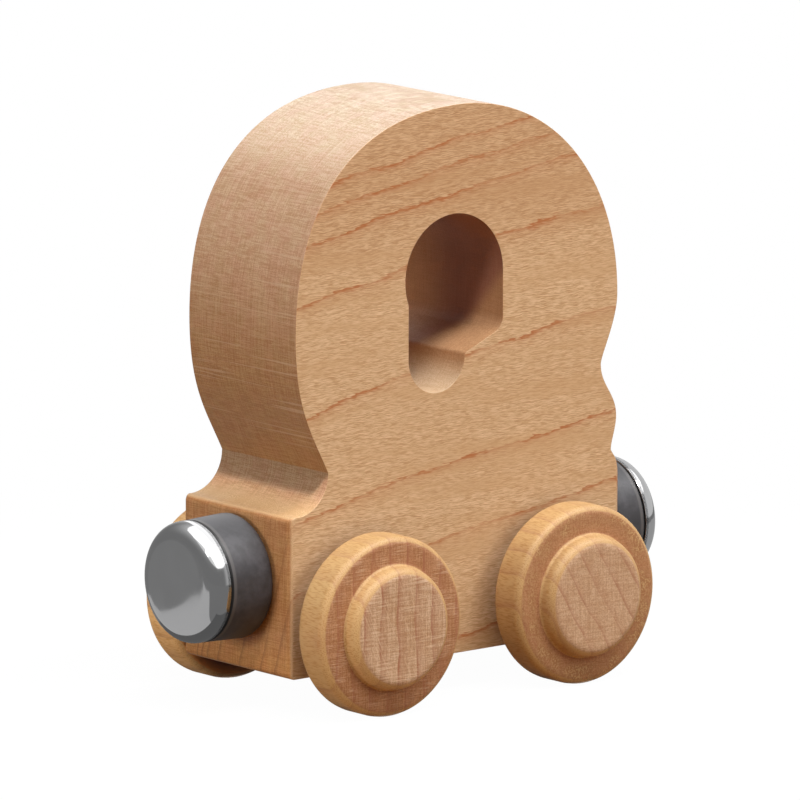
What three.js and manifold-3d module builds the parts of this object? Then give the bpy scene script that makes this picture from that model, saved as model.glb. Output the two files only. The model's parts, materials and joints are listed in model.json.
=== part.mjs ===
// Letter train car: a maple toy railway car cut in the shape of a capital Q, on two wheelsets,
// with a magnetic coupler on each end.
// Millimetres, +Z up. The origin is on the ground under the middle of the car. +X runs along the car
// to the right as the letter is read, and the letter is read from the -Y side.

import * as THREE from 'three';
import { mergeVertices } from 'three/addons/utils/BufferGeometryUtils.js';
import Module from 'manifold-3d';

const wasm = await Module();
wasm.setup();

// Wheels and axles
const WHEEL_DIAMETER = 19.0;
const WHEEL_WIDTH = 4.3;
const WHEEL_GAP = 7.4; // between the treads of the two wheels on one side
const WHEELBASE_OFFSET = -0.35; // the middle of the wheelbase lies this far along X from the block's middle
const TREAD_EDGE_RADIUS = 0.9;
const HUB_DIAMETER = 12.9;
const HUB_PROJECTION = 1.75;
const HUB_EDGE_RADIUS = 1.1;
const HUB_ROOT_RADIUS = 0.35;
const INNER_BOSS_DIAMETER = 8.0;
const INNER_BOSS_LENGTH = 1.45;
const WHEEL_SIDE_CLEARANCE = 0.3; // between the inner boss and the side of the body
const AXLE_DIAMETER = 3.2;
const AXLE_RUNNING_CLEARANCE = 0.2; // all round, in the body's bore
const AXLE_SEAT_CLEARANCE = 0.1; // all round and at the end, in the wheel's blind hole
const AXLE_SEAT_DEPTH = 5.2;
const AXLE_CHAMFER = 0.3;

// Block under the letter
const BODY_THICKNESS = 17.6;
const BLOCK_LENGTH = 44.9;
const BLOCK_HEIGHT = 17.05;
const AXLE_ABOVE_UNDERSIDE = 5.45;
const EDGE_EASING = 0.35; // rounds the edges of the two faces
const CORNER_EASING = 0.7; // rounds the block's corners seen from the front

// Outline of the letter, with heights measured from the top of the block
const LETTER_HEIGHT = 41.1;
const BOWL_WIDTH = 43.65;
const BOWL_OFFSET = 0.2; // the bowl's middle lies this far right of the block's middle
const BOWL_WIDEST_HEIGHT = 18.8;
const SHOULDER_RADIUS = 4.2;
const SHOULDER_LAND = 0.95;
const NECK_LEAN_DEGREES = 26; // how far the bowl leans outwards where it leaves the shoulder
const TAIL_WAIST_DEPTH = 2.25; // from the widest point of the bowl
const TAIL_WAIST_HEIGHT = 11.4;
const TAIL_TIP_SETBACK = 0.1; // from the widest point of the bowl
const TAIL_TIP_HEIGHT = 5.7;
const TAIL_NOTCH_DEPTH = 1.25; // from the end of the block
const TAIL_NOTCH_HEIGHT = 2.05;
const TAIL_FOOT_HEIGHT = 0.4;
const TAIL_FOOT_RADIUS = 3.0;

// Counter, the hole in the letter
const COUNTER_TOP_STROKE = 11.5; // wood between the crown and the hole
const COUNTER_HEIGHT = 18.65;
const COUNTER_OFFSET = -0.55; // from the bowl's middle to the middle of the arch
const COUNTER_ARCH_RADIUS = 6.6;
const COUNTER_STEP = 0.45; // the arch reaches this far past the straight left wall
const COUNTER_LOBE_RADIUS = 3.8;
const TAIL_SLOPE_DEGREES = 23;
const TAIL_FILLET_RADIUS = 1.8;

// Couplers
const COUPLER_ABOVE_AXLE = 4.4;
const SLEEVE_BASE_DIAMETER = 13.2;
const SLEEVE_RIM_DIAMETER = 12.8;
const SLEEVE_LENGTH = 5.6;
const SLEEVE_WALL = 1.2;
const SLEEVE_FLOOR = 2.0;
const SLEEVE_RIM_CHAMFER = 0.2;
const CAP_LENGTH = 2.25;
const CAP_EDGE_RADIUS = 1.9;
const CAP_FRONT_WALL = 0.85;
const SCREW_DIAMETER = 2.9;
const SCREW_HEAD_DIAMETER = 5.6;
const SCREW_HEAD_HEIGHT = 1.5;
const SCREW_GRIP = 8.0; // length in the wood
const SCREW_POINT_LENGTH = 3.0;
const SEAT_CLEARANCE = 0.1; // between pieces of a coupler that seat on each other

// Facets
const CHORD_ERROR = 0.04; // how far a facet may lie from the round that it follows
const CURVE_DIVISIONS = 10;
const EASING_DIVISIONS = 2;
const OVERCUT = 1.0;

// Places that follow from the sizes above
const axleHeight = WHEEL_DIAMETER / 2;
const wheelbase = WHEEL_DIAMETER + WHEEL_GAP;
const leftAxleX = WHEELBASE_OFFSET - wheelbase / 2;
const rightAxleX = WHEELBASE_OFFSET + wheelbase / 2;
const axleRadius = AXLE_DIAMETER / 2;
const blockEndX = BLOCK_LENGTH / 2;
const undersideZ = axleHeight - AXLE_ABOVE_UNDERSIDE;
const blockTopZ = undersideZ + BLOCK_HEIGHT;
const sideY = BODY_THICKNESS / 2;
const wheelSeatY = sideY + WHEEL_SIDE_CLEARANCE;
const couplerHeight = axleHeight + COUPLER_ABOVE_AXLE;

const maple = new THREE.MeshStandardMaterial({ color: 0xc8a07a, roughness: 0.55, metalness: 0 });
const turnedMaple = new THREE.MeshStandardMaterial({ color: 0xb98c64, roughness: 0.6, metalness: 0 });
const axleSteel = new THREE.MeshStandardMaterial({ color: 0xa9abad, roughness: 0.35, metalness: 1 });
const nickel = new THREE.MeshStandardMaterial({ color: 0xc4c4c5, roughness: 0.08, metalness: 1 });
const greyPlastic = new THREE.MeshStandardMaterial({ color: 0x4b4a4e, roughness: 0.5, metalness: 0 });
const ferrite = new THREE.MeshStandardMaterial({ color: 0x38363a, roughness: 0.75, metalness: 0 });
const screwSteel = new THREE.MeshStandardMaterial({ color: 0xb8a878, roughness: 0.4, metalness: 1 });

const vec = (x, y) => new THREE.Vector2(x, y);
const degrees = THREE.MathUtils.degToRad;

// Merges a geometry's shared vertices and drops the flat triangles that a turned profile has on its axis.
function closed(geometry) {
  const bare = geometry.clone();
  bare.deleteAttribute('normal');
  bare.deleteAttribute('uv');
  const merged = mergeVertices(bare);
  const corners = merged.index.array;
  const kept = [];
  for (let i = 0; i < corners.length; i += 3) {
    const [a, b, c] = [corners[i], corners[i + 1], corners[i + 2]];
    if (a !== b && b !== c && c !== a) kept.push(a, b, c);
  }
  merged.setIndex(kept);
  merged.computeVertexNormals();
  return merged;
}

function toSolid(geometry) {
  const mesh = closed(geometry);
  return new wasm.Manifold(new wasm.Mesh({
    numProp: 3,
    vertProperties: new Float32Array(mesh.getAttribute('position').array),
    triVerts: new Uint32Array(mesh.index.array),
  }));
}

function toGeometry(solid) {
  const mesh = solid.getMesh();
  const geometry = new THREE.BufferGeometry();
  geometry.setAttribute('position', new THREE.BufferAttribute(new Float32Array(mesh.vertProperties), 3));
  geometry.setIndex(new THREE.BufferAttribute(new Uint32Array(mesh.triVerts), 1));
  geometry.computeVertexNormals();
  return geometry;
}

// Cuts each of the tools out of a blank.
function cut(blank, tools) {
  return toGeometry(tools.reduce((solid, tool) => solid.subtract(toSolid(tool)), toSolid(blank)));
}

// Facets that a round of the given radius needs for a turn in degrees.
function facets(radius, turn) {
  const widest = 2 * Math.acos(1 - Math.min(CHORD_ERROR / radius, 1));
  return Math.max(2, Math.ceil(degrees(Math.abs(turn)) / widest));
}

// Points of an arc from one angle to another, both in degrees.
function arc(centre, radius, from, to) {
  const steps = facets(radius, to - from);
  return Array.from({ length: steps + 1 }, (_, i) => {
    const angle = degrees(from + (to - from) * i / steps);
    return vec(centre.x + radius * Math.cos(angle), centre.y + radius * Math.sin(angle));
  });
}

// Points of a round of the given radius on the corner between two straight runs.
function roundedCorner(before, corner, after, radius) {
  const back = before.clone().sub(corner).normalize();
  const ahead = after.clone().sub(corner).normalize();
  const half = Math.acos(THREE.MathUtils.clamp(back.dot(ahead), -1, 1)) / 2;
  const middle = back.clone().add(ahead).normalize().multiplyScalar(radius / Math.sin(half)).add(corner);
  const reach = radius / Math.tan(half);
  const start = corner.clone().addScaledVector(back, reach).sub(middle);
  const end = corner.clone().addScaledVector(ahead, reach).sub(middle);
  const from = THREE.MathUtils.radToDeg(start.angle());
  const turn = THREE.MathUtils.radToDeg(Math.atan2(start.cross(end), start.dot(end)));
  return arc(middle, radius, from, from + turn);
}

// Points of a curve between two places whose ends leave along the two handles.
function curve(start, startHandle, endHandle, end) {
  const leave = start.clone().add(startHandle);
  const arrive = end.clone().add(endHandle);
  return new THREE.CubicBezierCurve(start, leave, arrive, end).getPoints(CURVE_DIVISIONS);
}

// Turns a profile of (radius, height) points about the Y axis, with the same facets in each quarter.
function turned(profile) {
  const widest = Math.max(...profile.map((point) => point.x));
  return new THREE.LatheGeometry(profile, 4 * facets(widest, 90));
}

// The same, about the X axis.
function turnedAlongX(profile) {
  return turned(profile).rotateZ(-Math.PI / 2);
}

// The front outline, anticlockwise from the block's lower left corner. A handle is a share of the run
// that its curve spans, which sets how full the curve is and not how large.
function letterOutline() {
  const lowerLeft = vec(-blockEndX, undersideZ);
  const lowerRight = vec(blockEndX, undersideZ);
  const upperLeft = vec(-blockEndX, blockTopZ);
  const tailFoot = vec(blockEndX, blockTopZ + TAIL_FOOT_HEIGHT);
  const notch = vec(blockEndX - TAIL_NOTCH_DEPTH, blockTopZ + TAIL_NOTCH_HEIGHT);
  const widestZ = blockTopZ + BOWL_WIDEST_HEIGHT;
  const right = vec(BOWL_OFFSET + BOWL_WIDTH / 2, widestZ);
  const left = vec(BOWL_OFFSET - BOWL_WIDTH / 2, widestZ);
  const tip = vec(right.x - TAIL_TIP_SETBACK, blockTopZ + TAIL_TIP_HEIGHT);
  const waist = vec(right.x - TAIL_WAIST_DEPTH, blockTopZ + TAIL_WAIST_HEIGHT);
  const crown = vec(BOWL_OFFSET, blockTopZ + LETTER_HEIGHT);
  const shoulder = vec(-blockEndX + SHOULDER_LAND, blockTopZ + SHOULDER_RADIUS);
  const neck = vec(shoulder.x + SHOULDER_RADIUS, shoulder.y);

  const rise = (from, to, share) => vec(0, (to.y - from.y) * share);
  const run = (from, to, share) => vec((to.x - from.x) * share, 0);
  const lean = (handle) => handle.setX(-handle.y * Math.tan(degrees(NECK_LEAN_DEGREES)));
  return [
    ...roundedCorner(upperLeft, lowerLeft, lowerRight, CORNER_EASING),
    ...roundedCorner(lowerLeft, lowerRight, tailFoot, CORNER_EASING),
    ...roundedCorner(lowerRight, tailFoot, notch, TAIL_FOOT_RADIUS),
    ...curve(notch, rise(notch, tip, 0.26), rise(tip, notch, 0.38), tip),
    ...curve(tip, rise(tip, waist, 0.41), rise(waist, tip, 0.4), waist).slice(1),
    ...curve(waist, rise(waist, right, 0.13), rise(right, waist, 0.4), right).slice(1),
    ...curve(right, rise(right, crown, 0.58), run(crown, right, 0.57), crown).slice(1),
    ...curve(crown, run(crown, left, 0.68), rise(left, crown, 0.6), left).slice(1),
    ...curve(left, rise(left, neck, 0.53), lean(rise(neck, left, 0.29)), neck).slice(1),
    ...arc(shoulder, SHOULDER_RADIUS, 0, -90).slice(1),
    ...roundedCorner(shoulder.clone().setY(blockTopZ), upperLeft, lowerLeft, CORNER_EASING),
  ];
}

// The hole: an arch with straight sides, whose lower right is filled by the tail as far as a round lobe.
function counterOutline() {
  const topZ = blockTopZ + LETTER_HEIGHT - COUNTER_TOP_STROKE;
  const bottomZ = topZ - COUNTER_HEIGHT;
  const arch = vec(BOWL_OFFSET + COUNTER_OFFSET, topZ - COUNTER_ARCH_RADIUS);
  const rightWall = arch.x + COUNTER_ARCH_RADIUS;
  const leftWall = arch.x - COUNTER_ARCH_RADIUS + COUNTER_STEP;
  const lobe = vec(leftWall + COUNTER_LOBE_RADIUS, bottomZ + COUNTER_LOBE_RADIUS);
  const tailCorner = vec(lobe.x + COUNTER_LOBE_RADIUS, lobe.y);
  const slopeRise = (rightWall - tailCorner.x) * Math.tan(degrees(TAIL_SLOPE_DEGREES));
  const slopeEnd = vec(rightWall, tailCorner.y + slopeRise);
  const stepAngle = THREE.MathUtils.radToDeg(Math.acos((arch.x - leftWall) / COUNTER_ARCH_RADIUS));
  return [
    ...arc(lobe, COUNTER_LOBE_RADIUS, -180, 0),
    ...roundedCorner(tailCorner, slopeEnd, arch.clone().setX(rightWall), TAIL_FILLET_RADIUS),
    ...arc(arch, COUNTER_ARCH_RADIUS, 0, 180 + stepAngle),
  ];
}

// Letter and block, cut from one board with its edges eased, and bored for the axles and the screws
function letterBody() {
  const outline = new THREE.Shape(letterOutline());
  outline.holes.push(new THREE.Path(counterOutline()));
  const straight = BODY_THICKNESS - 2 * EDGE_EASING;
  const board = new THREE.ExtrudeGeometry(outline, {
    depth: straight,
    steps: 1,
    bevelEnabled: true,
    bevelThickness: EDGE_EASING,
    bevelSize: EDGE_EASING,
    bevelOffset: -EDGE_EASING,
    bevelSegments: EASING_DIVISIONS,
  });
  board.translate(0, 0, -straight / 2).rotateX(Math.PI / 2);

  const boreRadius = axleRadius + AXLE_RUNNING_CLEARANCE;
  const boreEnd = sideY + OVERCUT;
  const bore = turned([
    vec(0, -boreEnd),
    vec(boreRadius, -boreEnd),
    vec(boreRadius, boreEnd),
    vec(0, boreEnd),
  ]);
  const pilot = turnedAlongX(screwHole());
  return cut(board, [
    bore.clone().translate(leftAxleX, 0, axleHeight),
    bore.clone().translate(rightAxleX, 0, axleHeight),
    pilot.clone().rotateZ(Math.PI).translate(-blockEndX, 0, couplerHeight),
    pilot.clone().translate(blockEndX, 0, couplerHeight),
  ]);
}

// Wheel, one turning from the inner boss at height 0 to the face of the hub
function wheelGeometry() {
  const tread = WHEEL_DIAMETER / 2;
  const hub = HUB_DIAMETER / 2;
  const boss = INNER_BOSS_DIAMETER / 2;
  const bore = axleRadius + AXLE_SEAT_CLEARANCE;
  const inside = INNER_BOSS_LENGTH;
  const outside = inside + WHEEL_WIDTH;
  const face = outside + HUB_PROJECTION;
  const edge = TREAD_EDGE_RADIUS;
  return turned([
    vec(0, AXLE_SEAT_DEPTH),
    vec(bore, AXLE_SEAT_DEPTH),
    vec(bore, 0),
    vec(boss, 0),
    vec(boss, inside),
    ...roundedCorner(vec(boss, inside), vec(tread, inside), vec(tread, outside), edge),
    ...roundedCorner(vec(tread, inside), vec(tread, outside), vec(hub, outside), edge),
    ...roundedCorner(vec(tread, outside), vec(hub, outside), vec(hub, face), HUB_ROOT_RADIUS),
    ...roundedCorner(vec(hub, outside), vec(hub, face), vec(0, face), HUB_EDGE_RADIUS),
    vec(0, face),
  ]);
}

// Axle, a plain steel pin with chamfered ends that stop short of the ends of the blind holes
function axleGeometry() {
  const end = wheelSeatY + AXLE_SEAT_DEPTH - AXLE_SEAT_CLEARANCE;
  const tip = axleRadius - AXLE_CHAMFER;
  const half = [vec(axleRadius, end - AXLE_CHAMFER), vec(tip, end), vec(0, end)];
  const otherHalf = half.map((point) => vec(point.x, -point.y)).reverse();
  return turned([...otherHalf, ...half]);
}

// Coupler pieces are turned profiles of (radius, distance from the block's end), pointing out of the block.
const sleeveStart = SEAT_CLEARANCE;
const floorTop = sleeveStart + SLEEVE_FLOOR;
const rimAt = sleeveStart + SLEEVE_LENGTH;
const sleeveBore = SLEEVE_RIM_DIAMETER / 2 - SLEEVE_WALL;
const magnetRadius = sleeveBore - SEAT_CLEARANCE;
const capStart = rimAt + SEAT_CLEARANCE;
const capFront = capStart + CAP_LENGTH;
const recessEnd = capFront - CAP_FRONT_WALL;
const screwRadius = SCREW_DIAMETER / 2;
const headRadius = SCREW_HEAD_DIAMETER / 2;
const headTop = floorTop - SEAT_CLEARANCE;
const headRoot = headTop - SCREW_HEAD_HEIGHT;

// Sleeve, a moulded cup with a little draft and a countersunk hole in its floor
function sleeveProfile() {
  const base = SLEEVE_BASE_DIAMETER / 2;
  const rim = SLEEVE_RIM_DIAMETER / 2;
  const hole = screwRadius + SEAT_CLEARANCE;
  const sinkStart = headRoot - SEAT_CLEARANCE;
  const sinkTop = headRadius + (floorTop - headTop) + SEAT_CLEARANCE;
  return [
    vec(hole, sleeveStart),
    vec(base, sleeveStart),
    vec(rim, rimAt - SLEEVE_RIM_CHAMFER),
    vec(rim - SLEEVE_RIM_CHAMFER, rimAt),
    vec(sleeveBore, rimAt),
    vec(sleeveBore, floorTop),
    vec(sinkTop, floorTop),
    vec(hole, sinkStart),
    vec(hole, sleeveStart),
  ];
}

// Cap, a plated steel cap with a rounded edge, hollow at the back to fit over the magnet's end
function capProfile() {
  const rim = SLEEVE_RIM_DIAMETER / 2;
  return [
    vec(0, recessEnd),
    vec(sleeveBore, recessEnd),
    vec(sleeveBore, capStart),
    vec(rim, capStart),
    ...roundedCorner(vec(rim, capStart), vec(rim, capFront), vec(0, capFront), CAP_EDGE_RADIUS),
    vec(0, capFront),
  ];
}

// Magnet, a plain ferrite disc from the sleeve's floor to the inside of the cap
function magnetProfile() {
  const back = floorTop + SEAT_CLEARANCE;
  const front = recessEnd - SEAT_CLEARANCE;
  return [vec(0, back), vec(magnetRadius, back), vec(magnetRadius, front), vec(0, front)];
}

// Screw, countersunk and pointed
function screwProfile() {
  return [
    vec(0, -SCREW_GRIP),
    vec(screwRadius, SCREW_POINT_LENGTH - SCREW_GRIP),
    vec(screwRadius, headRoot),
    vec(headRadius, headTop),
    vec(0, headTop),
  ];
}

// Pilot hole, the screw's point and shank with clearance, open at the block's end
function screwHole() {
  const radius = screwRadius + SEAT_CLEARANCE;
  const depth = SCREW_GRIP + SEAT_CLEARANCE;
  return [
    vec(0, -depth),
    vec(SEAT_CLEARANCE, -depth),
    vec(radius, SCREW_POINT_LENGTH - SCREW_GRIP),
    vec(radius, OVERCUT),
    vec(0, OVERCUT),
  ];
}

function piece(name, geometry, material) {
  const mesh = new THREE.Mesh(closed(geometry), material);
  mesh.name = name;
  return mesh;
}

// An axle across the car with a wheel on each end, hub outwards
function wheelset(side, x) {
  const group = new THREE.Group();
  const back = piece(`back_${side}_wheel`, wheelGeometry(), turnedMaple);
  back.position.y = wheelSeatY;
  const front = piece(`front_${side}_wheel`, wheelGeometry(), turnedMaple);
  front.position.y = -wheelSeatY;
  front.rotation.x = Math.PI;
  group.add(piece(`${side}_axle`, axleGeometry(), axleSteel), back, front);
  group.position.set(x, 0, axleHeight);
  return group;
}

function coupler(side, x, turn) {
  const group = new THREE.Group();
  group.add(
    piece(`${side}_coupler_sleeve`, turnedAlongX(sleeveProfile()), greyPlastic),
    piece(`${side}_coupler_cap`, turnedAlongX(capProfile()), nickel),
    piece(`${side}_coupler_magnet`, turnedAlongX(magnetProfile()), ferrite),
    piece(`${side}_coupler_screw`, turnedAlongX(screwProfile()), screwSteel),
  );
  group.position.set(x, 0, couplerHeight);
  group.rotation.z = turn;
  return group;
}

const car = new THREE.Group();
car.add(
  piece('letter_body', letterBody(), maple),
  wheelset('left', leftAxleX),
  wheelset('right', rightAxleX),
  coupler('left', -blockEndX, Math.PI),
  coupler('right', blockEndX, 0),
);

export default car;
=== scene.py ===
import json
import math
from collections import namedtuple

import bmesh
import bpy
from bpy.props import FloatProperty, FloatVectorProperty, PointerProperty
from mathutils import Matrix, Vector, geometry, noise


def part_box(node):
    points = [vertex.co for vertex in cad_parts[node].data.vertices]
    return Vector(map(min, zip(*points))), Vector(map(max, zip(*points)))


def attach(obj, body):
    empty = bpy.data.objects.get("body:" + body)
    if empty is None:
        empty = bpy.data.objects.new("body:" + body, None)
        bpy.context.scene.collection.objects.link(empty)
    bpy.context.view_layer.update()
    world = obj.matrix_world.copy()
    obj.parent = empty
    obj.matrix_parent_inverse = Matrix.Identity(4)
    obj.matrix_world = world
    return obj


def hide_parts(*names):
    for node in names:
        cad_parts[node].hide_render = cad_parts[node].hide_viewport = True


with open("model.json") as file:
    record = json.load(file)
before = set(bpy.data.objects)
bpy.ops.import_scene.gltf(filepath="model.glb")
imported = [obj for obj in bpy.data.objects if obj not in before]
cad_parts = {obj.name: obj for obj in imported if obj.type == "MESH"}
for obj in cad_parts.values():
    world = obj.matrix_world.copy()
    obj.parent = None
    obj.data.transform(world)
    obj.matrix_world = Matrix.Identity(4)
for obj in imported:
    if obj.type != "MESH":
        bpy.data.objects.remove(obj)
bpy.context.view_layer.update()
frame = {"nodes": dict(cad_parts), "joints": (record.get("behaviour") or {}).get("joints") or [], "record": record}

bl_info = {
    "name": "Letter train car",
    "version": (1, 0, 0),
    "blender": (4, 5, 0),
    "location": "View3D > Sidebar > Letter car",
    "description": "A maple toy railway car in the shape of a Q, with turned wheels and magnetic couplers",
    "category": "Object",
}

MM = 0.001
SIDES = ("left", "right")

# Places that the frame gives
BODY_LOW, BODY_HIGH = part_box("letter_body")
AXLE_CENTRES = {joint["child"]: Vector(joint["pos_m"]) for joint in frame["joints"]}
AXLE_HEIGHT = AXLE_CENTRES["left_wheelset"].z
AXLE_LOW, AXLE_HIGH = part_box("left_axle")
WHEEL_LOW, WHEEL_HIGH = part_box("back_left_wheel")
SLEEVE_LOW, SLEEVE_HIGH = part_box("right_coupler_sleeve")
CAP_LOW, CAP_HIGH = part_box("right_coupler_cap")
COUPLER_HEIGHT = frame["record"]["mounts"][0]["pos_m"][2]
SCREW_LOW, SCREW_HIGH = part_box("right_coupler_screw")


def length(name, description, size):
    """A length property whose default is given in millimetres."""
    return FloatProperty(name=name, description=description, default=size * MM, unit="LENGTH", precision=5)


def share(name, description, value):
    """A plain number between 0 and 1 or so."""
    return FloatProperty(name=name, description=description, default=value, soft_min=0, soft_max=1)


def angle(name, description, turn):
    """An angle property whose default is given in degrees."""
    return FloatProperty(name=name, description=description, default=math.radians(turn), subtype="ANGLE")


def colour(name, description, red, green, blue):
    """A linear colour property."""
    return FloatVectorProperty(
        name=name,
        description=description,
        default=(red, green, blue),
        subtype="COLOR",
        size=3,
        min=0,
        max=1,
    )


class BodySettings(bpy.types.PropertyGroup):
    """Sizes and colours of the letter and the block under it."""

    block_height: length("Block height", "From the underside to the top of the block", 17.05)
    edge_easing: length("Edge easing", "Radius of the sanded edges of the two faces", 0.08)
    hole_easing: length("Hole easing", "Radius of the edges of the hole", 0.04)
    end_easing: length("End easing", "Radius of the upright edges at the block's ends", 0.6)
    corner_easing: length("Corner easing", "Radius of the block's corners seen from the front", 0.7)
    easing_variation: share("Easing variation", "How unevenly the edges were sanded by hand", 0.3)
    bowl_width: length("Bowl width", "Across the letter at its widest", 43.65)
    bowl_offset: length("Bowl offset", "From the block's middle to the bowl's middle", 0.2)
    bowl_widest: length("Height of the widest point", "From the top of the block", 18.8)
    shoulder_radius: length("Shoulder radius", "Of the fillet on the left of the block's top", 4.2)
    shoulder_land: length("Shoulder land", "Flat between the block's end and the fillet", 0.95)
    neck_lean: angle("Neck lean", "How far the bowl leans outwards where it leaves the fillet", 26)
    waist_depth: length("Waist depth", "Of the hollow above the tail", 2.25)
    waist_height: length("Waist height", "From the top of the block", 11.4)
    tip_setback: length("Tail tip setback", "From the widest point of the bowl", 0.1)
    tip_height: length("Tail tip height", "From the top of the block", 5.7)
    notch_depth: length("Notch depth", "From the end of the block to the notch under the tail", 1.25)
    notch_height: length("Notch height", "From the top of the block", 2.05)
    foot_height: length("Foot height", "From the top of the block to the foot of the tail", 0.4)
    foot_radius: length("Foot radius", "Round between the block's end and the notch", 3.0)
    top_stroke: length("Top stroke", "Wood between the crown and the hole", 11.5)
    counter_height: length("Hole height", "From its lowest to its highest point", 18.65)
    counter_offset: length("Hole offset", "From the bowl's middle to the middle of the arch", -0.55)
    arch_radius: length("Arch radius", "Of the upper end of the hole", 6.6)
    arch_step: length("Arch step", "How far the arch reaches past the straight left wall", 0.45)
    lobe_radius: length("Lobe radius", "Of the lower end of the hole", 3.8)
    tail_slope: angle("Tail slope", "Of the wood that fills the lower right of the hole", 23)
    tail_fillet: length("Tail fillet", "Between the slope and the right wall of the hole", 1.8)
    tail_corner: length("Tail corner", "Round where the slope meets the lobe", 0.5)
    bore_clearance: length("Bore clearance", "All round each axle", 0.2)
    long_grain: colour("Long grain", "Maple along the fibres", 0.590, 0.393, 0.224)
    end_grain: colour("End grain", "Maple across the fibres", 0.470, 0.301, 0.185)
    # Darker, warmer end grain towards the bottom of the bowl's left side and on the block's ends
    low_end: colour("Lower end grain", "The block's ends, nearer the heart of the tree", 0.318, 0.167, 0.067)
    # Painted sheen: paler colour for surfaces that face up near the crown
    painted_top_sheen: colour("Top grain", "Raised pale fibres on top", 0.650, 0.505, 0.370)
    ring_line: colour("Ring line", "Dark edge of each growth ring", 0.395, 0.118, 0.028)
    # Painted shade: end grain made darker for the inside of the hole
    shaded_hole_wall: colour("Hole wall", "End grain browned by the cutter", 0.490, 0.265, 0.130)
    coat: share("Coat", "How much clear sealer lies on the wood", 0.1)
    coat_roughness: share("Coat roughness", "Of the clear sealer", 0.35)


class WheelSettings(bpy.types.PropertyGroup):
    """Sizes and colours of the turned wheels."""

    width: length("Width", "Of the rolling disc", 4.3)
    tread_edge: length("Tread edge", "Round on the two edges of the tread", 0.9)
    hub_diameter: length("Hub diameter", "Of the raised boss on the outer face", 12.9)
    hub_edge: length("Hub edge", "Round on the edge of the hub", 1.1)
    hub_root: length("Hub root", "Fillet between the hub and the disc", 0.35)
    boss_diameter: length("Inner boss diameter", "Of the boss that runs beside the body", 8.0)
    boss_length: length("Inner boss length", "From the disc to the inner end of the wheel", 1.45)
    seat_clearance: length("Seat clearance", "Between the axle and the blind hole in the wheel", 0.1)
    seat_depth: length("Seat depth", "Of the blind hole", 5.2)
    rim: colour("Rim", "Long grain round the tread", 0.548, 0.338, 0.145)
    face: colour("Face", "End grain of the disc", 0.412, 0.202, 0.096)
    hub_face: colour("Hub face", "End grain of the hub, sanded paler", 0.522, 0.333, 0.203)
    ring_line: colour("Ring line", "Dark edge of each growth ring", 0.340, 0.130, 0.065)
    coat: share("Coat", "How much clear sealer lies on the wood", 0.1)
    coat_roughness: share("Coat roughness", "Of the clear sealer", 0.35)


class CouplerSettings(bpy.types.PropertyGroup):
    """Sizes and colours of the magnetic couplers."""

    wall: length("Sleeve wall", "Of the moulded sleeve at its rim", 1.2)
    floor: length("Sleeve floor", "Of the moulded sleeve", 2.0)
    base_edge: length("Base edge", "Round on the sleeve where it meets the wood", 0.7)
    rim_edge: length("Rim edge", "Round on the sleeve's rim beside the cap", 0.35)
    cap_edge: length("Cap edge", "Round on the front of the cap", 1.9)
    cap_wall: length("Cap front wall", "Between the face and the magnet", 0.85)
    screw_clearance: length("Screw clearance", "All round the screw in its hole", 0.1)
    plastic: colour("Plastic", "Of the sleeves", 0.038, 0.037, 0.041)
    # Paler band on the sleeve's rim beside the cap
    lip: colour("Lip", "Scuffed edge of the sleeve beside the cap", 0.110, 0.105, 0.105)
    # Painted shade: near black in the gap between sleeve and cap
    seam: colour("Seam", "Dirt between sleeve and cap", 0.006, 0.005, 0.005)
    nickel: colour("Nickel", "Of the caps", 0.62, 0.62, 0.625)


class StageSettings(bpy.types.PropertyGroup):
    """Camera and light."""

    azimuth: angle("Azimuth", "Of the camera, from straight in front towards the right", -39.541)
    elevation: angle("Elevation", "Of the camera above the ground", 10.524)
    roll: angle("Roll", "Of the camera about its own axis", 0.063)
    distance: length("Distance", "From the camera to the point that it looks at", 1257.35)
    target_x: length("Target across", "Place along the car that the camera looks at", -0.406)
    target_z: length("Target height", "Height that the camera looks at", 29.759)
    lens: FloatProperty(name="Lens", description="Focal length of the camera", default=540.0, unit="CAMERA")
    ambient: share("Ambient light", "Light from all round", 0.12)
    floor_bounce: colour("Floor bounce", "What the floor throws back", 0.29, 0.150, 0.050)


class LetterCarSettings(bpy.types.PropertyGroup):
    """Everything that can be set on the car."""

    body: PointerProperty(type=BodySettings)
    wheels: PointerProperty(type=WheelSettings)
    couplers: PointerProperty(type=CouplerSettings)
    stage: PointerProperty(type=StageSettings)


# Outlines

ARC_STEPS = 14
CURVE_STEPS = 36
CORNER_STEPS = 6
SAME_PLACE = 1e-7
ROUND_LEAD = 0.2
LOBE_END = -14
NOTCH_TO_TIP = (0.26, 0.38)
TIP_TO_WAIST = (0.41, 0.4)
WAIST_TO_RIGHT = (0.13, 0.4)
RIGHT_TO_CROWN = (0.58, 0.57)
CROWN_TO_LEFT = (0.68, 0.6)
LEFT_TO_NECK = (0.53, 0.29)


def arc(centre, radius, start, end, steps=ARC_STEPS):
    """Points of an arc between two angles in degrees."""
    turns = [math.radians(start + (end - start) * step / steps) for step in range(steps + 1)]
    return [centre + radius * Vector((math.cos(turn), math.sin(turn))) for turn in turns]


def rounded_corner(before, corner, after, radius, steps=ARC_STEPS):
    """Points of a round on the corner between two straight runs."""
    back = (before - corner).normalized()
    ahead = (after - corner).normalized()
    half = back.angle(ahead) / 2
    middle = corner + (back + ahead).normalized() * radius / math.sin(half)
    reach = radius / math.tan(half)
    start = corner + back * reach - middle
    end = corner + ahead * reach - middle
    first = math.degrees(math.atan2(start.y, start.x))
    turn = math.degrees(math.atan2(start.cross(end), start.dot(end)))
    return arc(middle, radius, first, first + turn, steps)


def curve(start, leave, arrive, end):
    """Points of a curve whose ends leave along two handles, without its first point."""
    return geometry.interpolate_bezier(start, start + leave, end + arrive, end, CURVE_STEPS + 1)[1:]


def without_repeats(points):
    """An outline without points that lie on the one before."""
    return [point for index, point in enumerate(points) if (point - points[index - 1]).length > SAME_PLACE]


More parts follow.
